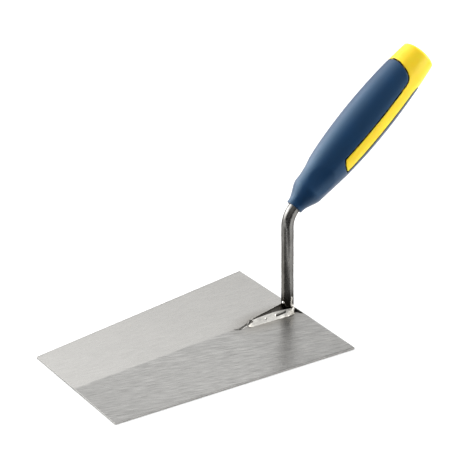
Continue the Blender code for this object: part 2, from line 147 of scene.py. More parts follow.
class WeldSettings(bpy.types.PropertyGroup):
    """Sizes and finish of the weld beads."""

    left_front: length("Left bead front", "Front end of the ground bead", 48.0 * MM)
    left_front_reach: length("Left front reach", "Centre line to the bead's edge, at its front", 4.6 * MM)
    left_reach: length("Left reach", "Centre line to the bead's edge, at its widest", 7.35 * MM)
    ridge_drift: length("Ridge drift", "Bow of the bead's inner line off the centre line", 4.3 * MM)
    ridge_shoulder: length("Ridge shoulder", "Further bow of the inner line beside the neck", 1.6 * MM)
    climb: length("Climb", "Height that the bead climbs up the neck", 2.5 * MM)
    run_height: length("Run height", "Thin run of weld metal up the neck's side", 9.5 * MM)
    right_reach: length("Right reach", "Centre line to the far bead's edge", 6.9 * MM)
    tail_length: length("Tail length", "Run-out in front of the foot", 13.5 * MM)
    tail_width: length("Tail width", "Run-out at its root", 3.4 * MM)
    tail_drift: length("Tail drift", "Bow of the run-out off the centre line", 1.7 * MM)
    knob_radius: length("Knob radius", "Drop of weld on the foot's tip", 1.7 * MM)
    burr_radius: length("Burr radius", "Drop of weld on the neck", 1.05 * MM)
    bright_colour: colour("Bright weld", "Ground weld metal", (0.86, 0.84, 0.79))
    fringe_colour: colour("Fringe", "Heat tint along the bead's edge", (0.36, 0.32, 0.255))
    pit_colour: colour("Pit", "Slag left in the pits", (0.06, 0.057, 0.052))


class HandleSettings(bpy.types.PropertyGroup):
    """Sizes and finish of the two mouldings of the handle."""

    nose_diameter: length("Nose diameter", "Front end", 12.2 * MM)
    nose_lip: length("Nose lip", "Straight stretch at the front end", 1.0 * MM)
    nose_cover: length("Nose cover", "How much of the bend the nose hides", 1.3 * MM)
    handle_lift: length("Handle lift", "Handle's axis over the bar's", 0.25 * MM)
    flare_length: length("Flare length", "Nose to shoulder", 15.4 * MM)
    shoulder_diameter: length("Shoulder diameter", "End of the flare", 22.3 * MM)
    waist_length: length("Waist length", "Shoulder to the start of the belly", 22.5 * MM)
    swell_diameter: length("Swell diameter", "Start of the belly", 28.5 * MM)
    swell_length: length("Swell length", "Start of the belly to its fullest", 39.0 * MM)
    belly_diameter: length("Belly diameter", "Fullest point", 32.4 * MM)
    taper_length: length("Taper length", "Fullest point to the rim", 57.8 * MM)
    rim_diameter: length("Rim diameter", "Where the butt turns over", 24.8 * MM)
    dome_height: length("Dome height", "Rounded end of the butt", 3.6 * MM)
    butt_length: length("Butt length", "Hard end behind the soft tongues", 17.2 * MM)
    window_setback: length("Window setback", "Start of the belly to the window's front", 2.6 * MM)
    front_radius: length("Window front radius", "Arch of the window's front", 12.5 * MM)
    window_rise: length("Window rise", "Window's upper edge over the axis", 3.95 * MM)
    window_drop: length("Window drop", "Window's lower edge under the axis", 5.3 * MM)
    tongue_radius: length("Tongue radius", "Corners of the soft tongues", 8.0 * MM)
    tongue_slant: angle("Tongue slant", "Lean of the tongues' ends", 30.0)
    seam: length("Seam", "Groove between the two mouldings", 0.7 * MM)
    recess: length("Recess", "Hard moulding under the soft one", 0.12 * MM)
    grip_wall: length("Grip wall", "Thickness of the soft moulding", 1.6 * MM)
    rail_wall: length("Rail wall", "Thickness of the hard rails", 2.7 * MM)
    grip_round: length("Grip edge round", "Round along the soft edges", 0.55 * MM)
    rail_round: length("Rail edge round", "Round along the hard edges", 0.25 * MM)
    # The dark groove is painted shade.
    seam_shade_depth: length("Seam shade", "Depth at which the groove turns dark", 0.1 * MM)
    thumb_length: length("Thumb hollow length", "Along the handle", 19.0 * MM)
    thumb_depth: length("Thumb hollow depth", "Deepest point", 0.8 * MM)
    thumb_setback: length("Thumb setback", "Shoulder to the middle of the hollow", 7.5 * MM)
    thumb_angle: angle("Thumb angle", "Round from the top of the handle", 63.0)
    thumb_spread: angle("Thumb spread", "From the hollow's middle to its border, round the handle", 44.0)
    hard_colour: colour("Hard moulding", "Yellow rails and butt", (1.0, 0.67, 0.02))
    # Painted groove shadow between the two mouldings.
    groove_shade_colour: colour("Groove shade", "Dirt in the groove between the mouldings", (0.02, 0.017, 0.012))
    soft_colour: colour("Soft moulding", "Blue grip", (0.0020, 0.027, 0.086))


class StageSettings(bpy.types.PropertyGroup):
    """Camera and light."""

    azimuth: angle("Azimuth", "Camera round from the -Y side", -35.7468)
    elevation: angle("Elevation", "Camera above the plane of the blade", 27.625)
    offset: bpy.props.FloatVectorProperty(
        name="Camera offset",
        description="Camera from the origin: to its right, up and back",
        default=(30.945 * MM, 76.336 * MM, 1181.913 * MM),
        precision=5,
        unit="LENGTH",
        subtype="TRANSLATION",
    )
    lens: bpy.props.FloatProperty(
        name="Lens", description="Focal length on a 36 mm sensor", default=134.2316, unit="CAMERA"
    )
    back_level: level("Back", "Soft low light behind, to the left", 5.0)
    key_level: level("Key", "Broad soft light above it", 2.0)
    side_level: level("Side", "Soft low light to the right", 5.9)
    top_level: level("Top", "Broad weak light above, to the right", 0.95)
    front_level: level("Front", "Faint light from the camera's side", 0.4)
    floor_colour: colour("Floor", "Plain pale floor", (0.80, 0.80, 0.80))
    front_colour: colour("Front of the floor", "Dark cloth that the camera doesn't see", (0.05, 0.05, 0.05))
    floor_lift: share("Floor lift", "White that the floor adds for the camera", 0.22)


# Modelling


def start(add, **place):
    """Adds a primitive with nothing else selected and opens it for editing."""
    bpy.ops.object.select_all(action="DESELECT")
    add(**place)
    bpy.ops.object.mode_set(mode="EDIT")
    bpy.ops.mesh.select_all(action="SELECT")
    return bpy.context.object


def pick(piece, domain, test):
    """Selects the vertices, edges or faces of an open mesh that pass a test, and nothing else."""
    bpy.ops.mesh.select_mode(type=domain)
    bpy.ops.mesh.select_all(action="DESELECT")
    bm = bmesh.from_edit_mesh(piece.data)
    members = {"VERT": bm.verts, "EDGE": bm.edges, "FACE": bm.faces}[domain]
    for member in members:
        if test(member):
            member.select_set(True)
    bm.select_flush_mode()
    bmesh.update_edit_mesh(piece.data)


def close(piece, outward=True):
    """Leaves edit mode, with the faces of a closed mesh pointing out."""
    if outward:
        bpy.ops.mesh.select_all(action="SELECT")
        bpy.ops.mesh.normals_make_consistent(inside=False)
    bpy.ops.object.mode_set(mode="OBJECT")


def extrude(x, y, z):
    bpy.ops.mesh.extrude_region_move(TRANSFORM_OT_translate={"value": (x, y, z)})


def apply_modifier(piece, kind, **values):
    """Adds a modifier with the given values and applies it."""
    modifier = piece.modifiers.new(kind, kind)
    for name, value in values.items():
        setattr(modifier, name, value)
    bpy.ops.object.select_all(action="DESELECT")
    piece.select_set(True)
    bpy.context.view_layer.objects.active = piece
    bpy.ops.object.modifier_apply(modifier=modifier.name)


def warped_grid(across, along, place):
    """Adds a grid and puts each point where place(share across, share along) says."""
    bpy.ops.object.select_all(action="DESELECT")
    bpy.ops.mesh.primitive_grid_add(x_subdivisions=across, y_subdivisions=along, size=1.0)
    piece = bpy.context.object
    for point in piece.data.vertices:
        point.co = place(point.co.x + 0.5, point.co.y + 0.5)
    return piece


def join(pieces):
    """Joins grids that meet along their edges into one mesh without doubles."""
    bpy.ops.object.select_all(action="DESELECT")
    for piece in pieces:
        piece.select_set(True)
    bpy.context.view_layer.objects.active = pieces[0]
    bpy.ops.object.join()
    bpy.ops.object.mode_set(mode="EDIT")
    bpy.ops.mesh.select_all(action="SELECT")
    bpy.ops.mesh.remove_doubles(threshold=0.01 * MM)
    bpy.ops.mesh.normals_make_consistent(inside=False)
    bpy.ops.object.mode_set(mode="OBJECT")
    return pieces[0]


def thicken(piece, wall, edge_round, segments):
    """Gives an open sheet a wall on its inner side and rounds the outer edge of its rim."""
    outer, rim, inner = range(3)
    for name in ("outer", "rim", "inner"):
        piece.data.materials.append(bpy.data.materials.new(name))
    apply_modifier(
        piece,
        "SOLIDIFY",
        thickness=wall,
        offset=-1.0,
        use_even_offset=True,
        material_offset_rim=rim,
        material_offset=inner,
    )
    bpy.ops.object.mode_set(mode="EDIT")
    pick(piece, "EDGE", lambda edge: {face.material_index for face in edge.link_faces} == {outer, rim})
    bpy.ops.mesh.bevel(offset=edge_round, segments=segments, affect="EDGES", clamp_overlap=False)
    bpy.ops.object.mode_set(mode="OBJECT")
    for face in piece.data.polygons:
        face.material_index = 0
    piece.data.materials.clear()


def paint(piece, name, value):
    """Stores value(point) for every point of a mesh, for its material to read."""
    attribute = piece.data.attributes.new(name, "FLOAT", "POINT")
    attribute.data.foreach_set("value", [value(point.co) for point in piece.data.vertices])


def shade(piece, degrees):
    bpy.ops.object.select_all(action="DESELECT")
    piece.select_set(True)
    bpy.context.view_layer.objects.active = piece
    bpy.ops.object.shade_smooth_by_angle(angle=math.radians(degrees))


def hand_over(piece, name, node, materials):
    """Names a finished piece, dresses it and sets it in the place of its node."""
    piece.name = name
    piece.data.name = name
    for material in materials:
        piece.data.materials.append(material)
    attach(piece, "root")
    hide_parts(node)


def mix(start_value, end_value, part):
    return start_value + (end_value - start_value) * part


def ease(low, high, value):
    """0 below low, 1 above high and a smooth rise between them."""
    part = min(1.0, max(0.0, (value - low) / (high - low)))
    return part * part * (3 - 2 * part)


def lumps(point, size, height, seed):
    """Uneven height of poured or forged metal; lumps of the same seed repeat from run to run."""
    return height * noise.noise(point / size + Vector((seed, 2 * seed, 3 * seed)))


# Shapes that several pieces share


def blade_top(x, y):
    """Height of the ground upper faces, which fall away on both sides of the centre line."""
    blade = bpy.context.scene.trowel_blade
    along = x / blade.plate_length + 0.5
    centre = mix(blade.toe_thickness, blade.heel_thickness, along)
    return centre - blade.crown_fall * abs(y) / (blade.heel_width / 2)


def neck_x():
    scene = bpy.context.scene
    return scene.trowel_blade.plate_length / 2 - scene.trowel_shank.neck_setback


def foot_tip_x():
    return neck_x() - bpy.context.scene.trowel_shank.foot_length


def foot_half_width(x):
    """Half the foot's width, from its tip to the round end behind the neck's axis."""
    shank = bpy.context.scene.trowel_shank
    root = shank.foot_root_width / 2
    if x > neck_x():
        return math.sqrt(max(0.0, root * root - (x - neck_x()) ** 2))
    along = max(0.0, (x - foot_tip_x()) / shank.foot_length)
    return mix(shank.foot_tip_width / 2, root, along)


def foot_top(x):
    """Height of the foot's ridge over the sole."""
    shank = bpy.context.scene.trowel_shank
    along = min(1.0, max(0.0, (x - foot_tip_x()) / shank.foot_length))
    return blade_top(x, 0.0) + mix(shank.foot_tip_height, shank.foot_root_height, along)


def bead_drift(x):
    """Distance from the centre line to the ground bead's inner line on the foot."""
    weld = bpy.context.scene.trowel_weld
    along = max(0.0, (x - foot_tip_x()) / bpy.context.scene.trowel_shank.foot_length)
    return 0.1 * MM + weld.ridge_drift * along**1.7 + weld.ridge_shoulder * ease(0.55, 1.0, along)


class HandleShape:
    """The handle's outline in its own frame: u from the nose, turn round from the top towards -Y."""

    def __init__(self, scene):
        self.sizes = scene.trowel_handle
        shank = scene.trowel_shank
        lean = shank.neck_lean
        tilt = shank.handle_tilt
        bend = math.pi / 2 - tilt
        self.axis = Vector((math.cos(tilt), 0.0, math.sin(tilt)))
        self.top = Vector((-math.sin(tilt), 0.0, math.cos(tilt)))
        self.bend_start = Vector((neck_x() - shank.neck_height * math.tan(lean), 0.0, shank.neck_height))
        bend_end = self.bend_start + shank.bend_radius * Vector(
            (math.cos(lean) - math.cos(bend), 0.0, math.sin(lean) + math.sin(bend))
        )
        self.nose = bend_end - self.axis * self.sizes.nose_cover + self.top * self.sizes.handle_lift
        self.shoulder_at = self.sizes.nose_lip + self.sizes.flare_length
        self.swell_at = self.shoulder_at + self.sizes.waist_length
        self.belly_at = self.swell_at + self.sizes.swell_length
        self.rim_at = self.belly_at + self.sizes.taper_length
        self.tongue_at = self.rim_at + self.sizes.dome_height - self.sizes.butt_length

    def radius(self, u):
        """Outer radius at a distance from the nose, up to the rim of the butt."""
        sizes = self.sizes
        shoulder = sizes.shoulder_diameter / 2
        swell = sizes.swell_diameter / 2
        belly = sizes.belly_diameter / 2
        if u <= self.shoulder_at:
            return mix(sizes.nose_diameter / 2, shoulder, ease(sizes.nose_lip, self.shoulder_at, u))
        if u <= self.swell_at:
            return mix(shoulder, swell, (u - self.shoulder_at) / sizes.waist_length)
        if u <= self.belly_at:
            return mix(belly, swell, ((self.belly_at - u) / sizes.swell_length) ** 2)
        return mix(belly, sizes.rim_diameter / 2, ((u - self.belly_at) / sizes.taper_length) ** 2)

    def point(self, u, turn, radius):
        out = self.top * math.cos(turn) - Vector((0.0, 1.0, 0.0)) * math.sin(turn)
        return self.nose + self.axis * u + out * radius

    def turn_at(self, u, height):
        """Turn at which the skin lies this high over the handle's axis."""
        return math.acos(height / self.radius(min(u, self.rim_at)))

    def window_front(self, height, grow):
        """Distance from the nose of the window's arched front, at a height over the handle's axis."""
        radius = self.sizes.front_radius + grow
        middle = self.swell_at + self.sizes.window_setback + self.sizes.front_radius
        return middle - math.sqrt(radius**2 - (height + self.sizes.window_drop) ** 2)

    def tongue_corner(self, edge):
        """Side view of the middle of a tongue's rounded corner; edge is its distance from the axis."""
        slant = self.sizes.tongue_slant
        radius = self.sizes.tongue_radius
        corner_top = edge + radius * (1 - math.sin(slant))
        run = (self.radius(self.tongue_at) - corner_top) * math.tan(slant)
        return self.tongue_at - run - radius * math.cos(slant), edge + radius

    def tongue_end(self, side, edge, grow):
        """Distance from the nose at which a tongue ends; side runs from -1 to 1 across it."""
        slant = self.sizes.tongue_slant
        radius = self.sizes.tongue_radius - grow
        corner_u, corner_height = self.tongue_corner(edge)
        slant_from = corner_height - radius * math.sin(slant)
        u = corner_u
        for step in range(12):
            height = self.radius(u) * math.cos(side * self.turn_at(u, edge + grow))
            if height < slant_from:
                u = corner_u + math.sqrt(max(0.0, radius**2 - (corner_height - height) ** 2))
            else:
                u = corner_u + radius * math.cos(slant) + (height - slant_from) * math.tan(slant)
        return u

    @staticmethod
    def spread_out(across):
        """Place across a tongue from -1 to 1, with the points closer together near its edges."""
        side = 2 * across - 1
        return mix(side, math.sin(side * math.pi / 2), 0.6)

    def in_groove(self, co):
        """How far a point lies in the groove between the two mouldings."""
        away = co - self.nose
        u = away.dot(self.axis)
        high = away.dot(self.top)
        if not self.swell_at < u < self.rim_at - 2.0 * MM:
            return 0.0
        skin = self.hollowed(u, math.atan2(-away.y, high) % FULL_TURN) - self.sizes.recess
        return ease(0.0, self.sizes.seam_shade_depth, skin - math.hypot(away.y, high))

    def hollowed(self, u, turn):
        """Outer radius with the thumb hollows taken out."""
        sizes = self.sizes
        along = (u - self.shoulder_at - sizes.thumb_setback) / (sizes.thumb_length / 2)
        near_side = abs(turn - sizes.thumb_angle)
        far_side = abs(FULL_TURN - turn - sizes.thumb_angle)
        away = min(near_side, far_side) / sizes.thumb_spread
        inside = 1 - along * along - away * away
        return self.radius(u) - sizes.thumb_depth * (inside + math.sqrt(inside * inside + 0.01)) / 2


# Node groups and materials


def add_node(tree, kind, inputs=None, **options):
    """Adds a node, sets its options and fills each input with a value or links it to an output."""
    made = tree.nodes.new(kind)
    for name, value in options.items():
        setattr(made, name, value)
    for socket, value in (inputs or {}).items():
        if isinstance(value, bpy.types.NodeSocket):
            tree.links.new(value, made.inputs[socket])
        else:
            made.inputs[socket].default_value = value
    return made


def maths(tree, operation, first, second):
    return add_node(tree, "ShaderNodeMath", {0: first, 1: second}, operation=operation).outputs[0]


def spread(tree, value, low, high, start_at=0.0, end_at=1.0):
    """Maps a value from one range to another, kept inside the second one."""
    inputs = {"Value": value, "From Min": start_at, "From Max": end_at, "To Min": low, "To Max": high}
    return add_node(tree, "ShaderNodeMapRange", inputs).outputs["Result"]


def blend_colours(tree, factor, first, second):
    made = add_node(tree, "ShaderNodeMix", data_type="RGBA")
    factor_socket, first_socket, second_socket = made.inputs[0], made.inputs[6], made.inputs[7]
    for socket, value in ((factor_socket, factor), (first_socket, first), (second_socket, second)):
        if isinstance(value, bpy.types.NodeSocket):
            tree.links.new(value, socket)
        elif socket == factor_socket:
            socket.default_value = value
        else:
            socket.default_value = (*value, 1.0)
    return made.outputs[2]


def new_group(name, inputs, outputs):
    """Starts a shader node group; inputs are (name, socket type, default), outputs are names of values."""
    tree = bpy.data.node_groups.new(name, "ShaderNodeTree")
    for label, kind, default in inputs:
        socket = tree.interface.new_socket(label, in_out="INPUT", socket_type=kind)
        if default is not None:
            socket.default_value = default
    for label in outputs:
        tree.interface.new_socket(label, in_out="OUTPUT", socket_type="NodeSocketFloat")
    return tree, tree.nodes.new("NodeGroupInput").outputs, tree.nodes.new("NodeGroupOutput")


def ground_lay_group():
    """Fine parallel grinding lines that run at an angle in the XY plane."""
    tree, given, out = new_group(
        "ground lay",
        (
            ("Vector", "NodeSocketVector", None),
            ("Angle", "NodeSocketFloat", 0.0),
            ("Line Length", "NodeSocketFloat", 30 * MM),
            ("Line Width", "NodeSocketFloat", 0.5 * MM),
        ),
        ("Streaks", "Scratches"),
    )
    back = maths(tree, "MULTIPLY", given["Angle"], -1.0)
    turn = add_node(tree, "ShaderNodeCombineXYZ", {"Z": back}).outputs[0]
    turned = add_node(tree, "ShaderNodeMapping", {"Vector": given["Vector"], "Rotation": turn}).outputs[0]
    along = maths(tree, "DIVIDE", 1.0, given["Line Length"])
    across = maths(tree, "DIVIDE", 1.0, given["Line Width"])
    counts = add_node(tree, "ShaderNodeCombineXYZ", {"X": along, "Y": across, "Z": across}).outputs[0]
    drift = add_node(tree, "ShaderNodeTexNoise", {"Vector": turned, "Scale": 1 / (15 * MM), "Detail": 1.0})
    shift = add_node(
        tree, "ShaderNodeVectorMath", {0: drift.outputs["Color"], 1: (MM, MM, 0.0)}, operation="MULTIPLY"
    )
    moved = add_node(tree, "ShaderNodeVectorMath", {0: turned, 1: shift.outputs[0]}, operation="ADD")
    waved = moved.outputs[0]
    lines = add_node(tree, "ShaderNodeVectorMath", {0: waved, 1: counts}, operation="MULTIPLY").outputs[0]
    coarse = add_node(tree, "ShaderNodeTexNoise", {"Vector": lines, "Scale": 1.0, "Detail": 2.0})
    noise = {"Vector": lines, "Scale": 2.5, "Detail": 2.0, "Roughness": 0.7}
    fine = add_node(tree, "ShaderNodeTexNoise", noise)
    tree.links.new(spread(tree, coarse.outputs["Fac"], 0.0, 1.0, 0.3, 0.7), out.inputs["Streaks"])
    tree.links.new(spread(tree, fine.outputs["Fac"], 0.0, 1.0, 0.3, 0.7), out.inputs["Scratches"])
    return tree


def mottle_group():
    """Soft cloudy patches of a given size."""
    tree, given, out = new_group(
        "mottle",
        (
            ("Vector", "NodeSocketVector", None),
            ("Size", "NodeSocketFloat", 5 * MM),
            ("Contrast", "NodeSocketFloat", 1.0),
        ),
        ("Value",),
    )
    count = maths(tree, "DIVIDE", 1.0, given["Size"])
    cloud = add_node(
        tree,
        "ShaderNodeTexNoise",
        {"Vector": given["Vector"], "Scale": count, "Detail": 4.0, "Roughness": 0.6},
    )
    centred = maths(tree, "SUBTRACT", cloud.outputs["Fac"], 0.5)
    stretched = maths(tree, "MULTIPLY", centred, maths(tree, "MULTIPLY", given["Contrast"], 2.5))
    value = add_node(tree, "ShaderNodeMath", {0: stretched, 1: 0.5}, operation="ADD", use_clamp=True)
    tree.links.new(value.outputs[0], out.inputs["Value"])
    return tree


def edge_marks_and_painted_light_group():
    """Broken mask along edges, from the mesh's own edge attribute."""
    tree, given, out = new_group(
        "edge marks and painted light",
        (
            ("Vector", "NodeSocketVector", None),
            ("Size", "NodeSocketFloat", 2 * MM),
            ("Amount", "NodeSocketFloat", 0.5),
        ),
        ("Mask",),
    )
    edge = add_node(tree, "ShaderNodeAttribute", attribute_name="edge")
    count = maths(tree, "DIVIDE", 1.0, given["Size"])
    noise = {"Vector": given["Vector"], "Scale": count, "Detail": 3.0}
    breaks = add_node(tree, "ShaderNodeTexNoise", noise)
    broken = spread(tree, breaks.outputs["Fac"], 0.2, 1.0, 0.35, 0.65)
    edge_toned = maths(tree, "MULTIPLY", edge.outputs["Fac"], broken)
    tree.links.new(maths(tree, "MULTIPLY", edge_toned, given["Amount"]), out.inputs["Mask"])
    return tree


def moulded_grain_group():
    """Fine spark-eroded grain of a plastic mould, with a few rubbed patches."""
    tree, given, out = new_group(
        "moulded grain",
        (
            ("Vector", "NodeSocketVector", None),
            ("Grain", "NodeSocketFloat", 0.3 * MM),
            ("Patch", "NodeSocketFloat", 9 * MM),
        ),
        ("Height", "Rubbed"),
    )
    grains = maths(tree, "DIVIDE", 1.0, given["Grain"])
    patches = maths(tree, "DIVIDE", 1.0, given["Patch"])
    fine = add_node(
        tree,
        "ShaderNodeTexNoise",
        {"Vector": given["Vector"], "Scale": grains, "Detail": 3.0, "Roughness": 0.65},
    )
    noise = {"Vector": given["Vector"], "Scale": patches, "Detail": 3.0}
    broad = add_node(tree, "ShaderNodeTexNoise", noise)
    tree.links.new(fine.outputs["Fac"], out.inputs["Height"])
    tree.links.new(spread(tree, broad.outputs["Fac"], 0.0, 1.0, 0.42, 0.72), out.inputs["Rubbed"])
    return tree


class Effects:
    """The shared node groups, built once."""

    def __init__(self):
        self.trees = {
            "ground lay": ground_lay_group(),
            "mottle": mottle_group(),
            "edge marks and painted light": edge_marks_and_painted_light_group(),
            "moulded grain": moulded_grain_group(),
        }

    def place(self, tree, name, inputs):
        made = add_node(tree, "ShaderNodeGroup", node_tree=self.trees[name])
        for socket, value in inputs.items():
            if isinstance(value, bpy.types.NodeSocket):
                tree.links.new(value, made.inputs[socket])
            else:
                made.inputs[socket].default_value = value
        return made.outputs


def effects():
    """The shared node groups of this file, made on the first call."""
    if "ground lay" not in bpy.data.node_groups:
        effects.made = Effects()
    return effects.made


def new_material(name, metallic):
    """Starts a material; gives its tree, its Principled shader and the object's own coordinates."""
    material = bpy.data.materials.new(name)
    material.use_nodes = True
    tree = material.node_tree
    shader = tree.nodes["Principled BSDF"]
    shader.inputs["Metallic"].default_value = metallic
    return material, tree, shader, add_node(tree, "ShaderNodeTexCoord").outputs["Object"]


def wire(tree, shader, base=None, roughness=None, height=None, depth=0.01 * MM):
    """Links a colour, a roughness and a bump height to the shader."""
    if base is not None:
        tree.links.new(base, shader.inputs["Base Color"])
    if roughness is not None:
        tree.links.new(roughness, shader.inputs["Roughness"])
    if height is not None:
        bump = add_node(tree, "ShaderNodeBump", {"Height": height, "Strength": 1.0, "Distance": depth})
        tree.links.new(bump.outputs["Normal"], shader.inputs["Normal"])


def shaded(rgb, factor):
    """A colour made darker or paler."""
    return tuple(min(1.0, channel * factor) for channel in rgb)


def ground_steel():
    """Ground faces of the blade: two lays of lines that meet on the centre line, two tones that are partly
    painted light, clouds, a brown tint from the welding that also paints shade beside the weld, and painted
    shade along the edges.
    """
    blade = bpy.context.scene.trowel_blade
    near = tuple(blade.near_colour)
    far = tuple(blade.far_colour)
    material, tree, shader, place = new_material("ground steel", 0.85)
    near_lines = effects().place(
        tree,
        "ground lay",
        {"Vector": place, "Angle": blade.near_lay, "Line Length": 10 * MM, "Line Width": 0.6 * MM},
    )
    far_lines = effects().place(
        tree,
        "ground lay",
        {"Vector": place, "Angle": blade.far_lay, "Line Length": 9 * MM, "Line Width": 1.0 * MM},
    )
    cloud = effects().place(tree, "mottle", {"Vector": place, "Size": 35 * MM, "Contrast": 0.8})["Value"]
    edge_wear_and_painted_light = effects().place(tree, "edge marks and painted light", {"Vector": place, "Amount": 0.15})["Mask"]
    wander = effects().place(tree, "mottle", {"Vector": place, "Size": 6 * MM, "Contrast": 0.6})["Value"]
    place_axes = add_node(tree, "ShaderNodeSeparateXYZ", {0: place}).outputs
    border = maths(tree, "ADD", place_axes["Y"], spread(tree, wander, -0.8 * MM, 0.8 * MM))
    side = spread(tree, border, 0.0, 1.0, -0.9 * MM, 0.9 * MM)
    streaked = blend_colours(tree, near_lines["Streaks"], shaded(near, 0.7), shaded(near, 1.3))
    toe = spread(tree, place_axes["X"], 0.25, 0.0, -80 * MM, -10 * MM)
    near_toned = blend_colours(tree, toe, streaked, shaded(near, 0.45))
    far_toned = blend_colours(tree, far_lines["Streaks"], shaded(far, 0.95), shaded(far, 1.05))
    # Partly painted light: the near and far faces get different tones, split along the centre line.
    toned = blend_colours(tree, side, near_toned, far_toned)
    clouded = blend_colours(tree, maths(tree, "MULTIPLY", cloud, 0.1), toned, shaded(near, 0.8))
    # Tint and painted shade beside the weld: a brown tint from the welding, dark enough to stand for the
    # reflection of the weld and neck on the near face and the shank's shadow on the far face.
    near_weld = add_node(
        tree,
        "ShaderNodeMapping",
        {"Vector": place, "Location": (-1.85, 0.12, 0.0), "Scale": (28.0, 60.0, 60.0)},
    )
    away = add_node(tree, "ShaderNodeVectorMath", {0: near_weld.outputs[0]}, operation="LENGTH")
    fading = spread(tree, away.outputs["Value"], 0.8, 0.0, 0.35, 1.0)
    tint_and_shade_mask = maths(tree, "MULTIPLY", fading, spread(tree, cloud, 0.6, 1.0))
    tinted = blend_colours(tree, tint_and_shade_mask, clouded, tuple(blade.tint_and_shade_colour))
    # Painted shade: the ground faces darken along the plate's edges.
    edge_toned = blend_colours(tree, edge_wear_and_painted_light, tinted, shaded(near, 0.78))
    lines = add_node(
        tree,
        "ShaderNodeMix",
        {0: side, 2: near_lines["Scratches"], 3: far_lines["Scratches"]},
        data_type="FLOAT",
    )
    wire(tree, shader, edge_toned, spread(tree, lines.outputs[0], 0.25, 0.34), lines.outputs[0], 0.002 * MM)
    return material


def sheared_steel():
    """Edge and sole of the blade: duller metal with short marks across it."""
    blade = bpy.context.scene.trowel_blade
    rgb = tuple(blade.edge_colour)
    material, tree, shader, place = new_material("sheared steel", 1.0)
    lay = {"Vector": place, "Angle": blade.far_lay, "Line Length": 18 * MM}
    lines = effects().place(tree, "ground lay", lay)
    edge_wear_and_painted_light = effects().place(tree, "edge marks and painted light", {"Vector": place, "Amount": 0.6})["Mask"]
    toned = blend_colours(tree, lines["Streaks"], shaded(rgb, 0.85), shaded(rgb, 1.1))
    edge_toned = blend_colours(tree, edge_wear_and_painted_light, toned, shaded(rgb, 1.5))
    roughness = spread(tree, lines["Scratches"], 0.3, 0.5)
    wire(tree, shader, edge_toned, roughness, lines["Scratches"], 0.006 * MM)
    return material


def forge_scale(name):
    """Grey scale on the forged bar, scorched black at the foot, where files left a few pale strokes;
    painted shade on one side of the neck, and a painted highlight along the foot's far upper edge.
    """
    shank = bpy.context.scene.trowel_shank
    material, tree, shader, place = new_material(name, 1.0)
    shader.inputs["Specular Tint"].default_value = (0.2, 0.2, 0.2, 1.0)
    drawn = add_node(tree, "ShaderNodeMapping", {"Vector": place, "Scale": (1.0, 1.0, 0.3)}).outputs[0]
    patches = effects().place(tree, "mottle", {"Vector": drawn, "Size": 4 * MM})["Value"]
    specks = effects().place(tree, "mottle", {"Vector": place, "Size": 0.9 * MM, "Contrast": 1.4})["Value"]
    # This attribute carries the black scale at the foot and painted shade on one side of the neck.
    burnt_and_shade = add_node(tree, "ShaderNodeAttribute", attribute_name="burnt_and_shade").outputs["Fac"]
    strokes = effects().place(
        tree,
        "ground lay",
        {"Vector": place, "Angle": math.radians(55.0), "Line Length": 5 * MM, "Line Width": 0.7 * MM},
    )["Streaks"]
    edge_wear_and_painted_light = effects().place(tree, "edge marks and painted light", {"Vector": place, "Amount": 0.8})["Mask"]
    toned = blend_colours(tree, patches, tuple(shank.dark_colour), tuple(shank.pale_colour))
    filed = maths(tree, "MULTIPLY", spread(tree, strokes, 0.0, 0.5, 0.75, 1.0), specks)
    black = blend_colours(tree, filed, tuple(shank.burnt_colour), tuple(shank.pale_colour))
    scaled = blend_colours(tree, burnt_and_shade, toned, black)
    # Paler where the edge attribute is set: a painted highlight along the foot's far upper edge, and the
    # fringes of the beads in scale.
    edge_toned = blend_colours(tree, edge_wear_and_painted_light, scaled, shaded(shank.pale_colour, 1.6))
    wire(tree, shader, edge_toned, spread(tree, specks, 0.16, 0.3), specks, 0.012 * MM)
    return material


def bright_weld():
    """Ground weld metal with grinding marks, and slag in its pits."""
    weld = bpy.context.scene.trowel_weld
    rgb = tuple(weld.bright_colour)
    material, tree, shader, place = new_material("bright weld", 1.0)
    lines = effects().place(
        tree,
        "ground lay",
        {"Vector": place, "Angle": math.radians(8.0), "Line Length": 9 * MM, "Line Width": 0.7 * MM},
    )
    cloud = effects().place(tree, "mottle", {"Vector": place, "Size": 4 * MM})["Value"]
    pit = add_node(tree, "ShaderNodeAttribute", attribute_name="pit").outputs["Fac"]
    fringe = effects().place(tree, "edge marks and painted light", {"Vector": place, "Amount": 0.8})["Mask"]
    toned = blend_colours(tree, lines["Streaks"], shaded(rgb, 0.8), shaded(rgb, 1.1))
    clouded = blend_colours(tree, maths(tree, "MULTIPLY", cloud, 0.3), toned, shaded(rgb, 0.6))
    tinted = blend_colours(tree, fringe, clouded, tuple(weld.fringe_colour))
    pitted = blend_colours(tree, pit, tinted, tuple(weld.pit_colour))
    roughness = spread(tree, lines["Scratches"], 0.26, 0.42)
    wire(tree, shader, pitted, roughness, cloud, 0.05 * MM)
    return material


def hard_yellow():
    """Satin hard plastic, a little translucent, with faint flow marks."""
    handle = bpy.context.scene.trowel_handle
    rgb = tuple(handle.hard_colour)
    material, tree, shader, place = new_material("hard yellow", 0.0)
    grain = effects().place(tree, "moulded grain", {"Vector": place, "Grain": 0.5 * MM, "Patch": 14 * MM})
    # Painted groove shadow between the two mouldings.
    groove_shade = effects().place(tree, "edge marks and painted light", {"Vector": place, "Size": 3 * MM, "Amount": 1.6})["Mask"]
    flow = blend_colours(tree, grain["Rubbed"], rgb, shaded(rgb, 1.05))
    groove_shaded = blend_colours(tree, groove_shade, flow, tuple(handle.groove_shade_colour))
    shader.inputs["Specular IOR Level"].default_value = 0.3
    shader.inputs["Subsurface Weight"].default_value = 1.0
    shader.inputs["Subsurface Radius"].default_value = (1.0, 0.7, 0.3)
    shader.inputs["Subsurface Scale"].default_value = 1.5 * MM
    wire(tree, shader, groove_shaded, spread(tree, grain["Rubbed"], 0.42, 0.34), grain["Height"], 0.006 * MM)
    return material


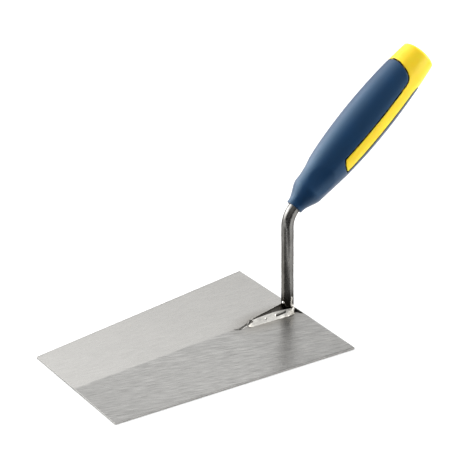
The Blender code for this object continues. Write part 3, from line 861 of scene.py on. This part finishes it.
def soft_blue():
    """Matt soft plastic with a fine grain and slightly polished patches."""
    handle = bpy.context.scene.trowel_handle
    rgb = tuple(handle.soft_colour)
    material, tree, shader, place = new_material("soft blue", 0.0)
    grain = effects().place(tree, "moulded grain", {"Vector": place, "Grain": 0.28 * MM, "Patch": 11 * MM})
    # Painted groove shadow between the two mouldings.
    groove_shade = effects().place(tree, "edge marks and painted light", {"Vector": place, "Size": 3 * MM, "Amount": 1.6})["Mask"]
    toned = blend_colours(tree, grain["Rubbed"], shaded(rgb, 0.96), shaded(rgb, 1.08))
    groove_shaded = blend_colours(tree, groove_shade, toned, tuple(handle.groove_shade_colour))
    shader.inputs["Specular Tint"].default_value = (0.55, 0.84, 1.0, 1.0)
    shader.inputs["Sheen Weight"].default_value = 0.05
    shader.inputs["Sheen Roughness"].default_value = 0.5
    wire(tree, shader, groove_shaded, spread(tree, grain["Rubbed"], 0.4, 0.34), grain["Height"], 0.012 * MM)
    return material


# Pieces


class TROWEL_OT_blade(bpy.types.Operator):
    """Models the ground trapezoid plate with its two brushed faces"""

    bl_idname = "trowel.blade"
    bl_label = "Blade"

    def execute(self, context):
        sizes = context.scene.trowel_blade
        ground, edge = range(2)
        plate = start(bpy.ops.mesh.primitive_plane_add, size=1.0)
        bpy.ops.transform.resize(value=(sizes.plate_length, sizes.heel_width, 1.0))
        pick(plate, "VERT", lambda vert: vert.co.x < 0)
        bpy.ops.transform.resize(value=(1.0, sizes.toe_width / sizes.heel_width, 1.0))
        bpy.ops.mesh.select_all(action="SELECT")
        bpy.ops.mesh.bevel(affect="VERTICES", offset=sizes.corner_radius, segments=6)
        bpy.ops.mesh.select_all(action="SELECT")
        bpy.ops.mesh.bisect(plane_co=(0.0, 0.0, 0.0), plane_no=(0.0, 1.0, 0.0))
        bpy.ops.mesh.select_all(action="SELECT")
        extrude(0.0, 0.0, sizes.toe_thickness)
        bm = bmesh.from_edit_mesh(plate.data)
        for vert in bm.verts:
            if vert.co.z > 0:
                vert.co.z = blade_top(vert.co.x, vert.co.y)
        bmesh.update_edit_mesh(plate.data)
        bpy.ops.mesh.select_all(action="SELECT")
        bpy.ops.mesh.normals_make_consistent(inside=False)
        pick(plate, "EDGE", lambda line: line.calc_face_angle(0.0) > math.radians(60.0))
        bpy.ops.mesh.bevel(offset=sizes.edge_round, segments=3, affect="EDGES")
        pick(plate, "FACE", lambda face: abs(face.normal.z) > 0.999)
        bpy.ops.mesh.inset(thickness=sizes.rim_width, use_boundary=True)
        close(plate)
        for face in plate.data.polygons:
            face.material_index = ground if face.normal.z > 0.999 else edge
        # The edge band paints shade on the ground faces along the plate's edges, and makes the sheared
        # faces paler.
        inner = sizes.rim_width + sizes.edge_round
        paint(plate, "edge", lambda co: ease(inner, 0.0, self.from_edge(sizes, co)))
        hand_over(plate, "blade_plate", "blade", (ground_steel(), sheared_steel()))
        return {"FINISHED"}

    @staticmethod
    def from_edge(sizes, co):
        """Distance of a point of the plate from the nearest edge."""
        along = co.x / sizes.plate_length + 0.5
        half_width = mix(sizes.toe_width, sizes.heel_width, along) / 2
        return min(half_width - abs(co.y), sizes.plate_length / 2 - abs(co.x))


class TROWEL_OT_shank(bpy.types.Operator):
    """Models the bent round bar and the wedge foot that is forged on it"""

    bl_idname = "trowel.shank"
    bl_label = "Shank"

    def execute(self, context):
        bar = self.model_bar(context)
        foot = self.model_foot(context)
        apply_modifier(bar, "BOOLEAN", operation="UNION", solver="EXACT", object=foot)
        bpy.data.objects.remove(foot)
        shade(bar, 40.0)
        root = neck_x() - context.scene.trowel_shank.base_diameter / 2
        # Painted highlight along the foot's far upper edge, carried by the edge attribute.
        paint(bar, "edge", lambda co: self.foot_edge_highlight(co, root))
        paint(bar, "burnt_and_shade", self.burnt_and_shade)
        hand_over(bar, "shank_bar", "shank", (forge_scale("forge scale"),))
        return {"FINISHED"}

    @staticmethod
    def foot_edge_highlight(co, root):
        """Painted highlight: a pale line along the far upper edge of the foot."""
        if co.x > root or co.z < blade_top(co.x, 0.0) + 1.0 * MM:
            return 0.0
        return 0.12 * ease(0.5 * MM, 0.1 * MM, abs(co.y - foot_half_width(co.x) + 0.2 * MM))

    @staticmethod
    def burnt_and_shade(co):
        """How dark the scale is: scorched black at the foot, and painted shade on the side of the neck
        turned to the toe and to +Y.
        """
        sizes = bpy.context.scene.trowel_shank
        axis = neck_x() - co.z * math.tan(sizes.neck_lean)
        # Painted shade on the neck below the bend, on its side that faces -X and +Y.
        turned = 0.58 * co.y - 0.81 * (co.x - axis)
        below = ease(sizes.neck_height, sizes.neck_height - 15.0 * MM, co.z)
        toe_side_shade = 0.45 * below * ease(1.0 * MM, 3.5 * MM, turned)
        on_foot = ease(neck_x() - 4.0 * MM, neck_x() - 9.0 * MM, co.x)
        return max(toe_side_shade, mix(1.0, 0.85, on_foot) * ease(24.0 * MM, 9.0 * MM, co.z))

    def model_bar(self, context):
        """A circle drawn up along the leaning neck, round the bend and into the handle."""
        sizes = context.scene.trowel_shank
        shape = HandleShape(context.scene)
        lean = sizes.neck_lean
        base = sizes.base_diameter / 2
        neck = sizes.neck_diameter / 2
        here = blade_top(neck_x(), 0.0) + 0.05 * MM
        foot_of_axis = (neck_x() - here * math.tan(lean), 0.0, here)
        bar = start(
            bpy.ops.mesh.primitive_circle_add,
            vertices=72,
            radius=base,
            fill_type="NGON",
            location=foot_of_axis,
        )
        width = base
        steps = 30
        for step in range(1, steps + 1):
            height = mix(foot_of_axis[2], sizes.neck_height, step / steps)
            extrude((here - height) * math.tan(lean), 0.0, height - here)
            radius = mix(base, neck, min(1.0, height / sizes.flare_height))
            bpy.ops.transform.resize(value=(radius / width, radius / width, 1.0))
            here = height
            width = radius
        centre = shape.bend_start + sizes.bend_radius * Vector((math.cos(lean), 0.0, math.sin(lean)))
        turn = math.pi / 2 - sizes.handle_tilt + lean
        bpy.ops.mesh.spin(steps=28, angle=turn, center=centre, axis=(0.0, -1.0, 0.0))
        extrude(*(shape.axis * sizes.tang_length))
        close(bar)
        bpy.ops.object.transform_apply(location=True, rotation=True, scale=True)
        seat = blade_top(neck_x(), 0.0) + 0.1 * MM
        moved = [self.hammered(point, sizes.unevenness, seat) for point in bar.data.vertices]
        for point, place in zip(bar.data.vertices, moved):
            point.co = place
        return bar

    @staticmethod
    def hammered(point, height, seat):
        """Where a point of the bar lies once its skin is uneven; its seat stays flat."""
        if point.co.z < seat:
            return point.co.copy()
        drawn = Vector((point.co.x, point.co.y, 0.35 * point.co.z))
        broad = lumps(drawn, 3.0 * MM, height, 31.0)
        fine = lumps(point.co, 1.3 * MM, height / 3, 37.0)
        return point.co + point.normal * (broad + fine)

    def model_foot(self, context):
        """A box drawn out to a wedge, with its upper edges rounded."""
        sizes = context.scene.trowel_shank
        tip = foot_tip_x()
        root = neck_x()
        foot = start(bpy.ops.mesh.primitive_cube_add, size=1.0)
        for cut in (-0.47, -0.4, -0.2, 0.0, 0.25):
            bpy.ops.mesh.select_all(action="SELECT")
            bpy.ops.mesh.bisect(plane_co=(cut, 0.0, 0.0), plane_no=(1.0, 0.0, 0.0))
        bm = bmesh.from_edit_mesh(foot.data)
        for vert in bm.verts:
            along = vert.co.x + 0.5
            x = mix(tip, root, along)
            blunt = math.sqrt(mix(0.35, 1.0, min(1.0, along / 0.1)))
            high = vert.co.z > 0
            y = math.copysign(foot_half_width(x) * blunt, vert.co.y)
            if high and y < 0:
                y = -bead_drift(x)
            seat = blade_top(x, 0.0) + 0.05 * MM
            vert.co = (x, y, mix(seat, foot_top(x), blunt) if high else seat)
        bmesh.update_edit_mesh(foot.data)
        low = blade_top(root, 0.0) + 0.2 * MM
        sharp = math.radians(50)
        pick(
            foot,
            "EDGE",
            lambda line: min(vert.co.z for vert in line.verts) > low and line.calc_face_angle(0.0) > sharp,
        )
        bpy.ops.mesh.bevel(offset=sizes.foot_round, segments=4, affect="EDGES")
        close(foot)
        return foot


class TROWEL_OT_weld_beads(bpy.types.Operator):
    """Models the weld metal round the foot: two side beads, the run-out and the heel bead"""

    bl_idname = "trowel.weld_beads"
    bl_label = "Weld beads"

    def execute(self, context):
        sizes = context.scene.trowel_weld
        bright = bright_weld()
        scale = forge_scale("weld scale")
        left = self.bead(60, 180, lambda across, along: self.left_point(sizes, across, along), 0.4 * MM)
        run = self.bead(16, 60, lambda across, along: self.run_point(sizes, across, along), 0.3 * MM)
        left = join([left, run])
        self.finish_bead(left, "weld_left_bead", "weld_left", "bright_weld", bright)
        right = self.bead(30, 120, lambda across, along: self.right_point(sizes, across, along), 0.4 * MM)
        right = join([right, self.burr(sizes)])
        self.finish_bead(right, "weld_right_bead", "weld_right", "bright_weld", bright)
        tail = self.bead(24, 110, lambda across, along: self.tail_point(sizes, across, along), 0.3 * MM)
        self.finish_bead(tail, "weld_tip_bead", "weld_tip", "forge_scale", scale)
        heel = self.bead(20, 120, self.heel_point, 0.3 * MM)
        self.finish_bead(heel, "weld_heel_bead", "weld_heel", "forge_scale", scale)
        return {"FINISHED"}

    @staticmethod
    def bead(across, along, place, wall):
        """Sheet of weld metal that lies on the blade, closed by a thin wall on its lower side."""
        sheet = join([warped_grid(across, along, place)])
        if sum(face.normal.z * face.area for face in sheet.data.polygons) < 0:
            sheet.data.flip_normals()
        apply_modifier(sheet, "SOLIDIFY", thickness=wall, offset=-1.0)
        return sheet

    def finish_bead(self, bead, name, node, slot, metal):
        paint(bead, "pit", self.slag)
        paint(bead, "edge", self.fringe)
        paint(bead, "burnt_and_shade", lambda co: 0.9)
        shade(bead, 50.0)
        hand_over(bead, name, node, (metal,))

    @staticmethod
    def fringe(co):
        """Where welding tinted a bead: along its thin edge, at its front end and beside the neck."""
        beside = ease(neck_x() - 10.0 * MM, neck_x(), co.x)
        thin = ease(mix(0.3, 2.4, beside) * MM, 0.0, co.z - blade_top(co.x, co.y))
        ahead = 0.5 * ease(foot_tip_x() + 1.0 * MM, foot_tip_x() - 2.0 * MM, co.x)
        return max(thin, ahead, 0.75 * ease(neck_x() - 7.0 * MM, neck_x(), co.x))

    @staticmethod
    def pit(co):
        """How deep a point lies in the pits of the ground bead: a slot and a pore."""
        slot_from = Vector((70.6, -4.1)) * MM
        slot_to = Vector((77.8, -5.0)) * MM
        pore = Vector((62.4, -3.3)) * MM
        here = Vector((co.x, co.y))
        run = slot_to - slot_from
        along = min(1.0, max(0.0, (here - slot_from).dot(run) / run.length_squared))
        off_slot = (here - slot_from - run * along).length
        off_pore = (here - pore).length
        slot = ease(mix(0.95, 0.6, along) * MM, mix(0.45, 0.2, along) * MM, off_slot)
        return max(slot, 0.6 * ease(1.1 * MM, 0.3 * MM, off_pore))

    def slag(self, co):
        """How dark slag stains a bead: in its pits, and low down beside the neck."""
        low = ease(3.4 * MM, 0.4 * MM, co.z - blade_top(co.x, co.y))
        stain = 0.8 * low * ease(neck_x() - 9.0 * MM, neck_x() - 2.0 * MM, co.x)
        return max(self.pit(co), stain)

    @staticmethod
    def left_lines(sizes, along):
        """Inner line of the ground bead on the foot and its outer line on the blade."""
        beside = 0.8
        root = neck_x()
        tip = foot_tip_x()
        if along <= beside:
            x = mix(sizes.left_front, root, along / beside)
            lead = min(1.0, (x - sizes.left_front) / (tip - sizes.left_front))
            drift = mix(1.7 * MM, 0.0, lead) + bead_drift(x)
            ridge = mix(blade_top(x, 0.0) + 0.1 * MM, foot_top(max(x, tip)) + 0.06 * MM, lead)
            widened = min(1.0, (x - sizes.left_front) / (30.0 * MM))
            full = mix(sizes.left_front_reach, sizes.left_reach, widened)
            opened = math.sqrt(1 - (1 - min(1.0, (x - sizes.left_front) / (2.6 * MM))) ** 2)
            reach = mix(2.2 * MM, full, opened)
            return Vector((x, -drift, ridge)), Vector((x, -reach, blade_top(x, reach)))
        part = (along - beside) / (1 - beside)
        turn = math.radians(mix(-90.0, -22.0, part))
        out = Vector((math.cos(turn), math.sin(turn), 0.0))
        axis = Vector((root, 0.0, 0.0))
        lobe = ease(26.0, 9.0, abs(math.degrees(turn) + 58.0))
        inner = axis + out * mix(bead_drift(root), sizes.ridge_drift - 0.05 * MM, ease(0.0, 0.35, part))
        inner.z = mix(foot_top(root) + 0.06 * MM, blade_top(root, 0.0) + 1.6 * MM, part**0.8)
        inner.z += sizes.climb * lobe
        outer = axis + out * mix(sizes.left_reach, 6.2 * MM, part)
        outer.z = blade_top(outer.x, outer.y)
        return inner, outer

    def left_point(self, sizes, across, along):
        """Ground bead on the -Y side: a flat face from the foot down to the blade, drawn round the neck."""
        inner, outer = self.left_lines(sizes, along)
        hollow = mix(1.0, 2.6, ease(0.78, 0.9, along))
        here = inner.lerp(outer, across)
        here.z = mix(outer.z, inner.z, (1 - across) ** hollow) + 0.03 * MM
        flat = Vector((here.x, here.y, 0.0))
        uneven = lumps(flat, 3.4 * MM, 0.16 * MM, 3.0) + lumps(flat, 1.2 * MM, 0.05 * MM, 5.0)
        here.z += uneven * ease(0.0, 0.2, across) * ease(0.0, 0.2, 1 - across) - 0.7 * MM * self.pit(flat)
        return here

    @staticmethod
    def run_point(sizes, across, along):
        """Thin run of weld metal that climbs the neck's side from the ground bead's rear end."""
        shank = bpy.context.scene.trowel_shank
        side = 2 * across - 1
        start_z = foot_top(neck_x()) - 1.5 * MM
        turn = math.radians(-88.0 + mix(14.0, 5.0, along**1.5) * side + 4.0 * math.sin(9.0 * along))
        arch = math.sqrt(max(0.0, 1 - side * side)) * math.sqrt(1 - along)
        radius = shank.base_diameter / 2 - 0.05 * MM + 0.5 * MM * arch
        z = start_z + sizes.run_height * along
        out = Vector((math.cos(turn), math.sin(turn), 0.0)) * radius
        here = out + Vector((neck_x() - z * math.tan(shank.neck_lean), 0.0, z))
        return here + out.normalized() * lumps(here, 1.1 * MM, 0.2 * MM, 29.0) * arch

    @staticmethod
    def right_point(sizes, across, along):
        """Narrow rippled bead on the +Y side."""
        tip = foot_tip_x()
        x = mix(tip + 0.4 * MM, neck_x() + 2.8 * MM, along)
        rounded = math.sqrt(1 - (1 - min(1.0, along / 0.09)) ** 2)
        closing = 1 - 0.2 * ease(0.8, 1.0, along)
        inner = foot_half_width(x) - 0.4 * MM
        reach = mix(0.55, 1.0, ease(0.0, 0.9, along)) * sizes.right_reach * closing
        y = mix(inner, max(inner + 0.1 * MM, reach * mix(0.6, 1.0, rounded)), across)
        ridge = foot_top(x) - blade_top(x, 0.0) - 0.9 * MM
        round_top = math.sqrt(max(0.0, 1 - across**2.2))
        ripple = 0.1 * MM * math.sin(FULL_TURN * (x / (1.7 * MM) + 0.35 * across**2))
        here = Vector((x, y, 0.0))
        height = ridge * round_top * mix(0.35, 1.0, rounded)
        height += (ripple + lumps(here, 2.6 * MM, 0.15 * MM, 9.0)) * round_top
        return Vector((x, y, blade_top(x, y) + height + 0.03 * MM))

    @staticmethod
    def burr(sizes):
        """Drop of weld metal that stuck to the neck in front."""
        middle = Vector((neck_x() - 4.3 * MM, -0.9 * MM, foot_top(neck_x()) + 3.4 * MM))
        bpy.ops.object.select_all(action="DESELECT")
        radius = sizes.burr_radius
        bpy.ops.mesh.primitive_uv_sphere_add(segments=24, ring_count=14, radius=radius, location=middle)
        bpy.ops.transform.resize(value=(0.85, 1.1, 1.0))
        bpy.ops.object.transform_apply(location=True, rotation=True, scale=True)
        drop = bpy.context.object
        for point in drop.data.vertices:
            point.co += (point.co - middle).normalized() * lumps(point.co, 0.9 * MM, 0.2 * MM, 17.0)
        return drop

    @staticmethod
    def tail_point(sizes, across, along):
        """Run-out that bows in front of the foot, with the drop of weld that sits on the foot's tip."""
        tip = foot_tip_x()
        x = mix(tip + 1.7 * MM, tip - 0.3 * MM - sizes.tail_length, along)
        part = min(1.0, max(0.0, (tip - 0.3 * MM - x) / sizes.tail_length))
        middle = -0.2 * MM - sizes.tail_drift * math.sin(math.pi * part * part)
        side = 2 * across - 1
        width = mix(sizes.tail_width, 1.3 * MM, part**0.8) / 2
        width += 0.22 * MM * math.sin(11.0 * part + 0.8) * (1 - part)
        knob = max(0.0, 1 - ((x - tip) / (1.5 * sizes.knob_radius)) ** 2)
        width = mix(width, sizes.knob_radius, knob)
        low = 0.1 * MM + 1.1 * MM * (1 - part) ** 1.2
        crest = mix(low, foot_top(tip) - blade_top(x, 0.0) + 0.8 * MM, knob)
        arch = math.sqrt(max(0.0, 1 - side * side))
        y = middle + side * width
        uneven = lumps(Vector((x, y, 0.0)), 1.3 * MM, 0.3 * MM, 13.0) * arch * (1 - part)
        return Vector((x, y, blade_top(x, y) + 0.02 * MM + max(0.0, crest * arch + uneven)))

    @staticmethod
    def heel_point(across, along):
        """Bead behind the neck that thins out to both sides along the heel edge."""
        pad = bpy.context.scene.trowel_shank.base_diameter / 2 - 0.3 * MM
        half_span = (HEEL_BEAD_HIGH.y - HEEL_BEAD_LOW.y) / 2
        rear = HEEL_BEAD_HIGH.x + 0.3 * MM
        front = neck_x() + 2.6 * MM
        y = half_span * (2 * along - 1)
        out = abs(y) / half_span
        wing = mix(front, rear - 0.5 * MM, out)
        ring = neck_x() + math.sqrt(max(0.0, pad * pad - y * y))
        x = mix(max(ring, wing) if abs(y) < pad else wing, rear, across)
        crest = mix(3.2 * MM, 0.25 * MM, out**0.7)
        here = Vector((x, y, 0.0))
        uneven = lumps(here, 2.2 * MM, 0.3 * MM, 21.0) * (1 - across) * (1 - out)
        return Vector((x, y, blade_top(x, y) + 0.02 * MM + max(0.0, crest * (1 - across) ** 1.3 + uneven)))


class TROWEL_OT_handle_grip(bpy.types.Operator):
    """Models the soft moulding: nose, thumb hollows and the two tongues"""

    bl_idname = "trowel.handle_grip"
    bl_label = "Handle grip"

    def execute(self, context):
        shape = HandleShape(context.scene)
        sizes = shape.sizes
        grow = sizes.seam
        rise = sizes.window_rise + grow
        drop = sizes.window_drop + grow
        upper_at = shape.window_front(rise, grow)
        lower_at = shape.window_front(-drop, grow)
        upper_turn = shape.turn_at(upper_at, rise)
        lower_turn = shape.turn_at(lower_at, drop)

        def skin(u, turn):
            return shape.point(u, turn, shape.hollowed(u, turn % FULL_TURN))

        def front_top(across, along):
            return skin(upper_at * along, shape.spread_out(across) * upper_turn)

        def front_below(across, along):
            return skin(lower_at * along, math.pi + shape.spread_out(across) * lower_turn)

        def front_side(across, along):
            height = mix(rise, -drop, across)
            end = shape.window_front(height, grow)
            return skin(end * along, shape.turn_at(end, height))

        def front_other_side(across, along):
            height = mix(rise, -drop, across)
            end = shape.window_front(height, grow)
            return skin(end * along, FULL_TURN - shape.turn_at(end, height))

        def tongue_top(across, along):
            side = shape.spread_out(across)
            u = mix(upper_at, shape.tongue_end(side, sizes.window_rise, grow), along)
            return skin(u, side * shape.turn_at(u, rise))

        def tongue_below(across, along):
            side = shape.spread_out(across)
            u = mix(lower_at, shape.tongue_end(side, sizes.window_drop, grow), along)
            return skin(u, math.pi + side * shape.turn_at(u, drop))

        grids = (
            (64, 60, front_top),
            (16, 60, front_side),
            (16, 60, front_other_side),
            (56, 60, front_below),
            (64, 90, tongue_top),
            (56, 90, tongue_below),
        )
        grip = join([warped_grid(*grid) for grid in grids])
        thicken(grip, sizes.grip_wall, sizes.grip_round, 3)
        # The groove gets painted shade.
        paint(grip, "edge", shape.in_groove)
        shade(grip, 40.0)
        hand_over(grip, "grip_sleeve", "handle_grip", (soft_blue(),))
        return {"FINISHED"}


class TROWEL_OT_handle_core(bpy.types.Operator):
    """Models the hard moulding: the two side rails and the domed butt"""

    bl_idname = "trowel.handle_core"
    bl_label = "Handle core"

    def execute(self, context):
        shape = HandleShape(context.scene)
        sizes = shape.sizes
        rise = sizes.window_rise
        drop = sizes.window_drop
        upper_end = shape.tongue_corner(rise)[0]
        lower_end = shape.tongue_corner(drop)[0]
        straight = 0.6

        def skin(u, turn):
            return shape.point(u, turn, shape.radius(u) - sizes.recess)

        def butt_u(begin, along):
            return mix(begin, shape.rim_at, min(1.0, along / straight))

        def butt(begin, turn, along):
            """Point on the butt, from where it begins, over the rim, to the middle of the dome."""
            if along <= straight:
                return skin(butt_u(begin, along), turn)
            climb = math.pi / 2 * (along - straight) / (1 - straight)
            u = shape.rim_at + sizes.dome_height * math.sin(climb)
            return shape.point(u, turn, (sizes.rim_diameter / 2 - sizes.recess) * math.cos(climb))

        def rail(across, along):
            height = mix(rise, -drop, across)
            u = mix(shape.window_front(height, 0.0), mix(upper_end, lower_end, across), along)
            return skin(u, shape.turn_at(u, height))

        def butt_side(across, along):
            begin = mix(upper_end, lower_end, across)
            return butt(begin, shape.turn_at(butt_u(begin, along), mix(rise, -drop, across)), along)

        def butt_top(across, along):
            side = shape.spread_out(across)
            begin = shape.tongue_end(side, rise, 0.0)
            return butt(begin, side * shape.turn_at(butt_u(begin, along), rise), along)

        def butt_below(across, along):
            side = shape.spread_out(across)
            begin = shape.tongue_end(side, drop, 0.0)
            return butt(begin, math.pi + side * shape.turn_at(butt_u(begin, along), drop), along)

        def mirrored(place):
            def other(across, along):
                point = place(across, along)
                return Vector((point.x, -point.y, point.z))

            return other

        grids = (
            (16, 76, rail),
            (16, 76, mirrored(rail)),
            (16, 50, butt_side),
            (16, 50, mirrored(butt_side)),
            (64, 50, butt_top),
            (56, 50, butt_below),
        )
        core = join([warped_grid(*grid) for grid in grids])
        thicken(core, sizes.rail_wall, sizes.rail_round, 2)
        # The groove gets painted shade.
        paint(core, "edge", shape.in_groove)
        shade(core, 40.0)
        hand_over(core, "core_moulding", "handle_core", (hard_yellow(),))
        return {"FINISHED"}


class TROWEL_OT_stage(bpy.types.Operator):
    """Sets up the floor, the light and the camera"""

    bl_idname = "trowel.stage"
    bl_label = "Stage"

    def execute(self, context):
        settings = context.scene.trowel_stage
        context.scene.view_settings.view_transform = "Standard"
        self.add_camera(context, settings)
        self.add_floor(settings)
        self.add_world(context)
        return {"FINISHED"}

    @staticmethod
    def add_camera(context, settings):
        """Camera at the photograph's place, looking square along its own back axis."""
        a = settings.azimuth
        e = settings.elevation
        right = Vector((math.cos(a), math.sin(a), 0.0))
        back = Vector((math.sin(a) * math.cos(e), -math.cos(a) * math.cos(e), math.sin(e)))
        up = back.cross(right)
        bpy.ops.object.camera_add()
        camera = context.object
        camera.name = "photo camera"
        camera.location = right * settings.offset[0] + up * settings.offset[1] + back * settings.offset[2]
        camera.rotation_euler = Euler((math.pi / 2 - e, 0.0, a))
        camera.data.lens = settings.lens
        camera.data.sensor_width = 36.0
        context.scene.camera = camera

    @staticmethod
    def add_floor(settings):
        bpy.ops.object.select_all(action="DESELECT")
        bpy.ops.mesh.primitive_plane_add(size=12.0, location=(0.0, 0.0, -0.2 * MM))
        floor = bpy.context.object
        floor.name = "floor"
        material, tree, shader, place = new_material("pale floor", 0.0)
        shader.inputs["Roughness"].default_value = 0.9
        shader.inputs["Specular IOR Level"].default_value = 0.1
        shader.inputs["Emission Color"].default_value = (1.0, 1.0, 1.0, 1.0)
        path = add_node(tree, "ShaderNodeLightPath").outputs
        axes = add_node(tree, "ShaderNodeSeparateXYZ", {0: place}).outputs
        beside = spread(tree, axes["X"], 1.0, 0.0, 80 * MM, 110 * MM)
        front = maths(tree, "MULTIPLY", beside, spread(tree, axes["Y"], 1.0, 0.0, -110 * MM, -75 * MM))
        unseen = maths(tree, "MULTIPLY", front, maths(tree, "SUBTRACT", 1.0, path["Is Camera Ray"]))
        pale = tuple(settings.floor_colour)
        base = blend_colours(tree, unseen, pale, tuple(settings.front_colour))
        tree.links.new(base, shader.inputs["Base Color"])
        seen = maths(tree, "MAXIMUM", path["Is Camera Ray"], path["Is Transmission Ray"])
        seen = maths(tree, "MAXIMUM", seen, path["Is Glossy Ray"])
        seen = maths(tree, "SUBTRACT", seen, maths(tree, "MULTIPLY", seen, unseen))
        lift = maths(tree, "MULTIPLY", seen, settings.floor_lift)
        tree.links.new(lift, shader.inputs["Emission Strength"])
        floor.data.materials.append(material)

    def add_world(self, context):
        """White for the camera; for the light, soft patches left, right and above, a faint one in front."""
        settings = context.scene.trowel_stage
        world = bpy.data.worlds.new("studio")
        context.scene.world = world
        world.use_nodes = True
        tree = world.node_tree
        background = tree.nodes["Background"]
        direction = add_node(tree, "ShaderNodeTexCoord").outputs["Generated"]
        room = 0.0
        for bearing, height, inner, outer, strength in (
            (127.0, 4.0, 0.0, 52.0, settings.back_level),
            (110.0, 43.0, 0.0, 57.0, settings.key_level),
            (-38.0, 8.0, 0.0, 40.0, settings.side_level),
            (5.0, 47.0, 0.0, 62.0, settings.top_level),
            (-126.0, 45.0, 0.0, 60.0, settings.front_level),
        ):
            centre = self.towards(bearing, height)
            room = maths(tree, "ADD", room, self.glow(tree, direction, centre, inner, outer, strength))
        camera_ray = add_node(tree, "ShaderNodeLightPath").outputs["Is Camera Ray"]
        seen = add_node(tree, "ShaderNodeMix", {0: camera_ray, 2: room, 3: 1.0}, data_type="FLOAT")
        tree.links.new(seen.outputs[0], background.inputs["Strength"])
        background.inputs["Color"].default_value = (1.0, 1.0, 1.0, 1.0)

    @staticmethod
    def towards(bearing, height):
        """Direction at an angle round from +X and above the floor, in degrees."""
        a = math.radians(bearing)
        e = math.radians(height)
        return Vector((math.cos(a) * math.cos(e), math.sin(a) * math.cos(e), math.sin(e)))

    @staticmethod
    def glow(tree, direction, centre, inner, outer, strength):
        """Round soft patch of light: full inside one angle from its centre and nothing outside another."""
        along = add_node(tree, "ShaderNodeVectorMath", {0: direction, 1: centre}, operation="DOT_PRODUCT")
        inputs = {
            "Value": along.outputs["Value"],
            "From Min": math.cos(math.radians(outer)),
            "From Max": math.cos(math.radians(inner)),
            "To Min": 0.0,
            "To Max": strength,
        }
        patch = add_node(tree, "ShaderNodeMapRange", inputs, interpolation_type="SMOOTHSTEP")
        return patch.outputs["Result"]


PIECES = (
    TROWEL_OT_blade,
    TROWEL_OT_shank,
    TROWEL_OT_weld_beads,
    TROWEL_OT_handle_grip,
    TROWEL_OT_handle_core,
    TROWEL_OT_stage,
)

SETTINGS = {
    "trowel_blade": BladeSettings,
    "trowel_shank": ShankSettings,
    "trowel_weld": WeldSettings,
    "trowel_handle": HandleSettings,
    "trowel_stage": StageSettings,
}


class TROWEL_PT_pieces(bpy.types.Panel):
    """Lists the pieces of the trowel"""

    bl_idname = "TROWEL_PT_pieces"
    bl_label = "Trowel"
    bl_space_type = "VIEW_3D"
    bl_region_type = "UI"
    bl_category = "Trowel"

    def draw(self, context):
        for piece in PIECES:
            self.layout.operator(piece.bl_idname)


def register():
    for group_name, group in SETTINGS.items():
        bpy.utils.register_class(group)
        setattr(bpy.types.Scene, group_name, bpy.props.PointerProperty(type=group))
    for made in (*PIECES, TROWEL_PT_pieces):
        bpy.utils.register_class(made)


def unregister():
    for made in reversed((*PIECES, TROWEL_PT_pieces)):
        bpy.utils.unregister_class(made)
    for group_name, group in SETTINGS.items():
        delattr(bpy.types.Scene, group_name)
        bpy.utils.unregister_class(group)


def main():
    register()
    bpy.ops.trowel.blade()
    bpy.ops.trowel.shank()
    bpy.ops.trowel.weld_beads()
    bpy.ops.trowel.handle_grip()
    bpy.ops.trowel.handle_core()
    bpy.ops.trowel.stage()


if __name__ == "__main__":
    main()
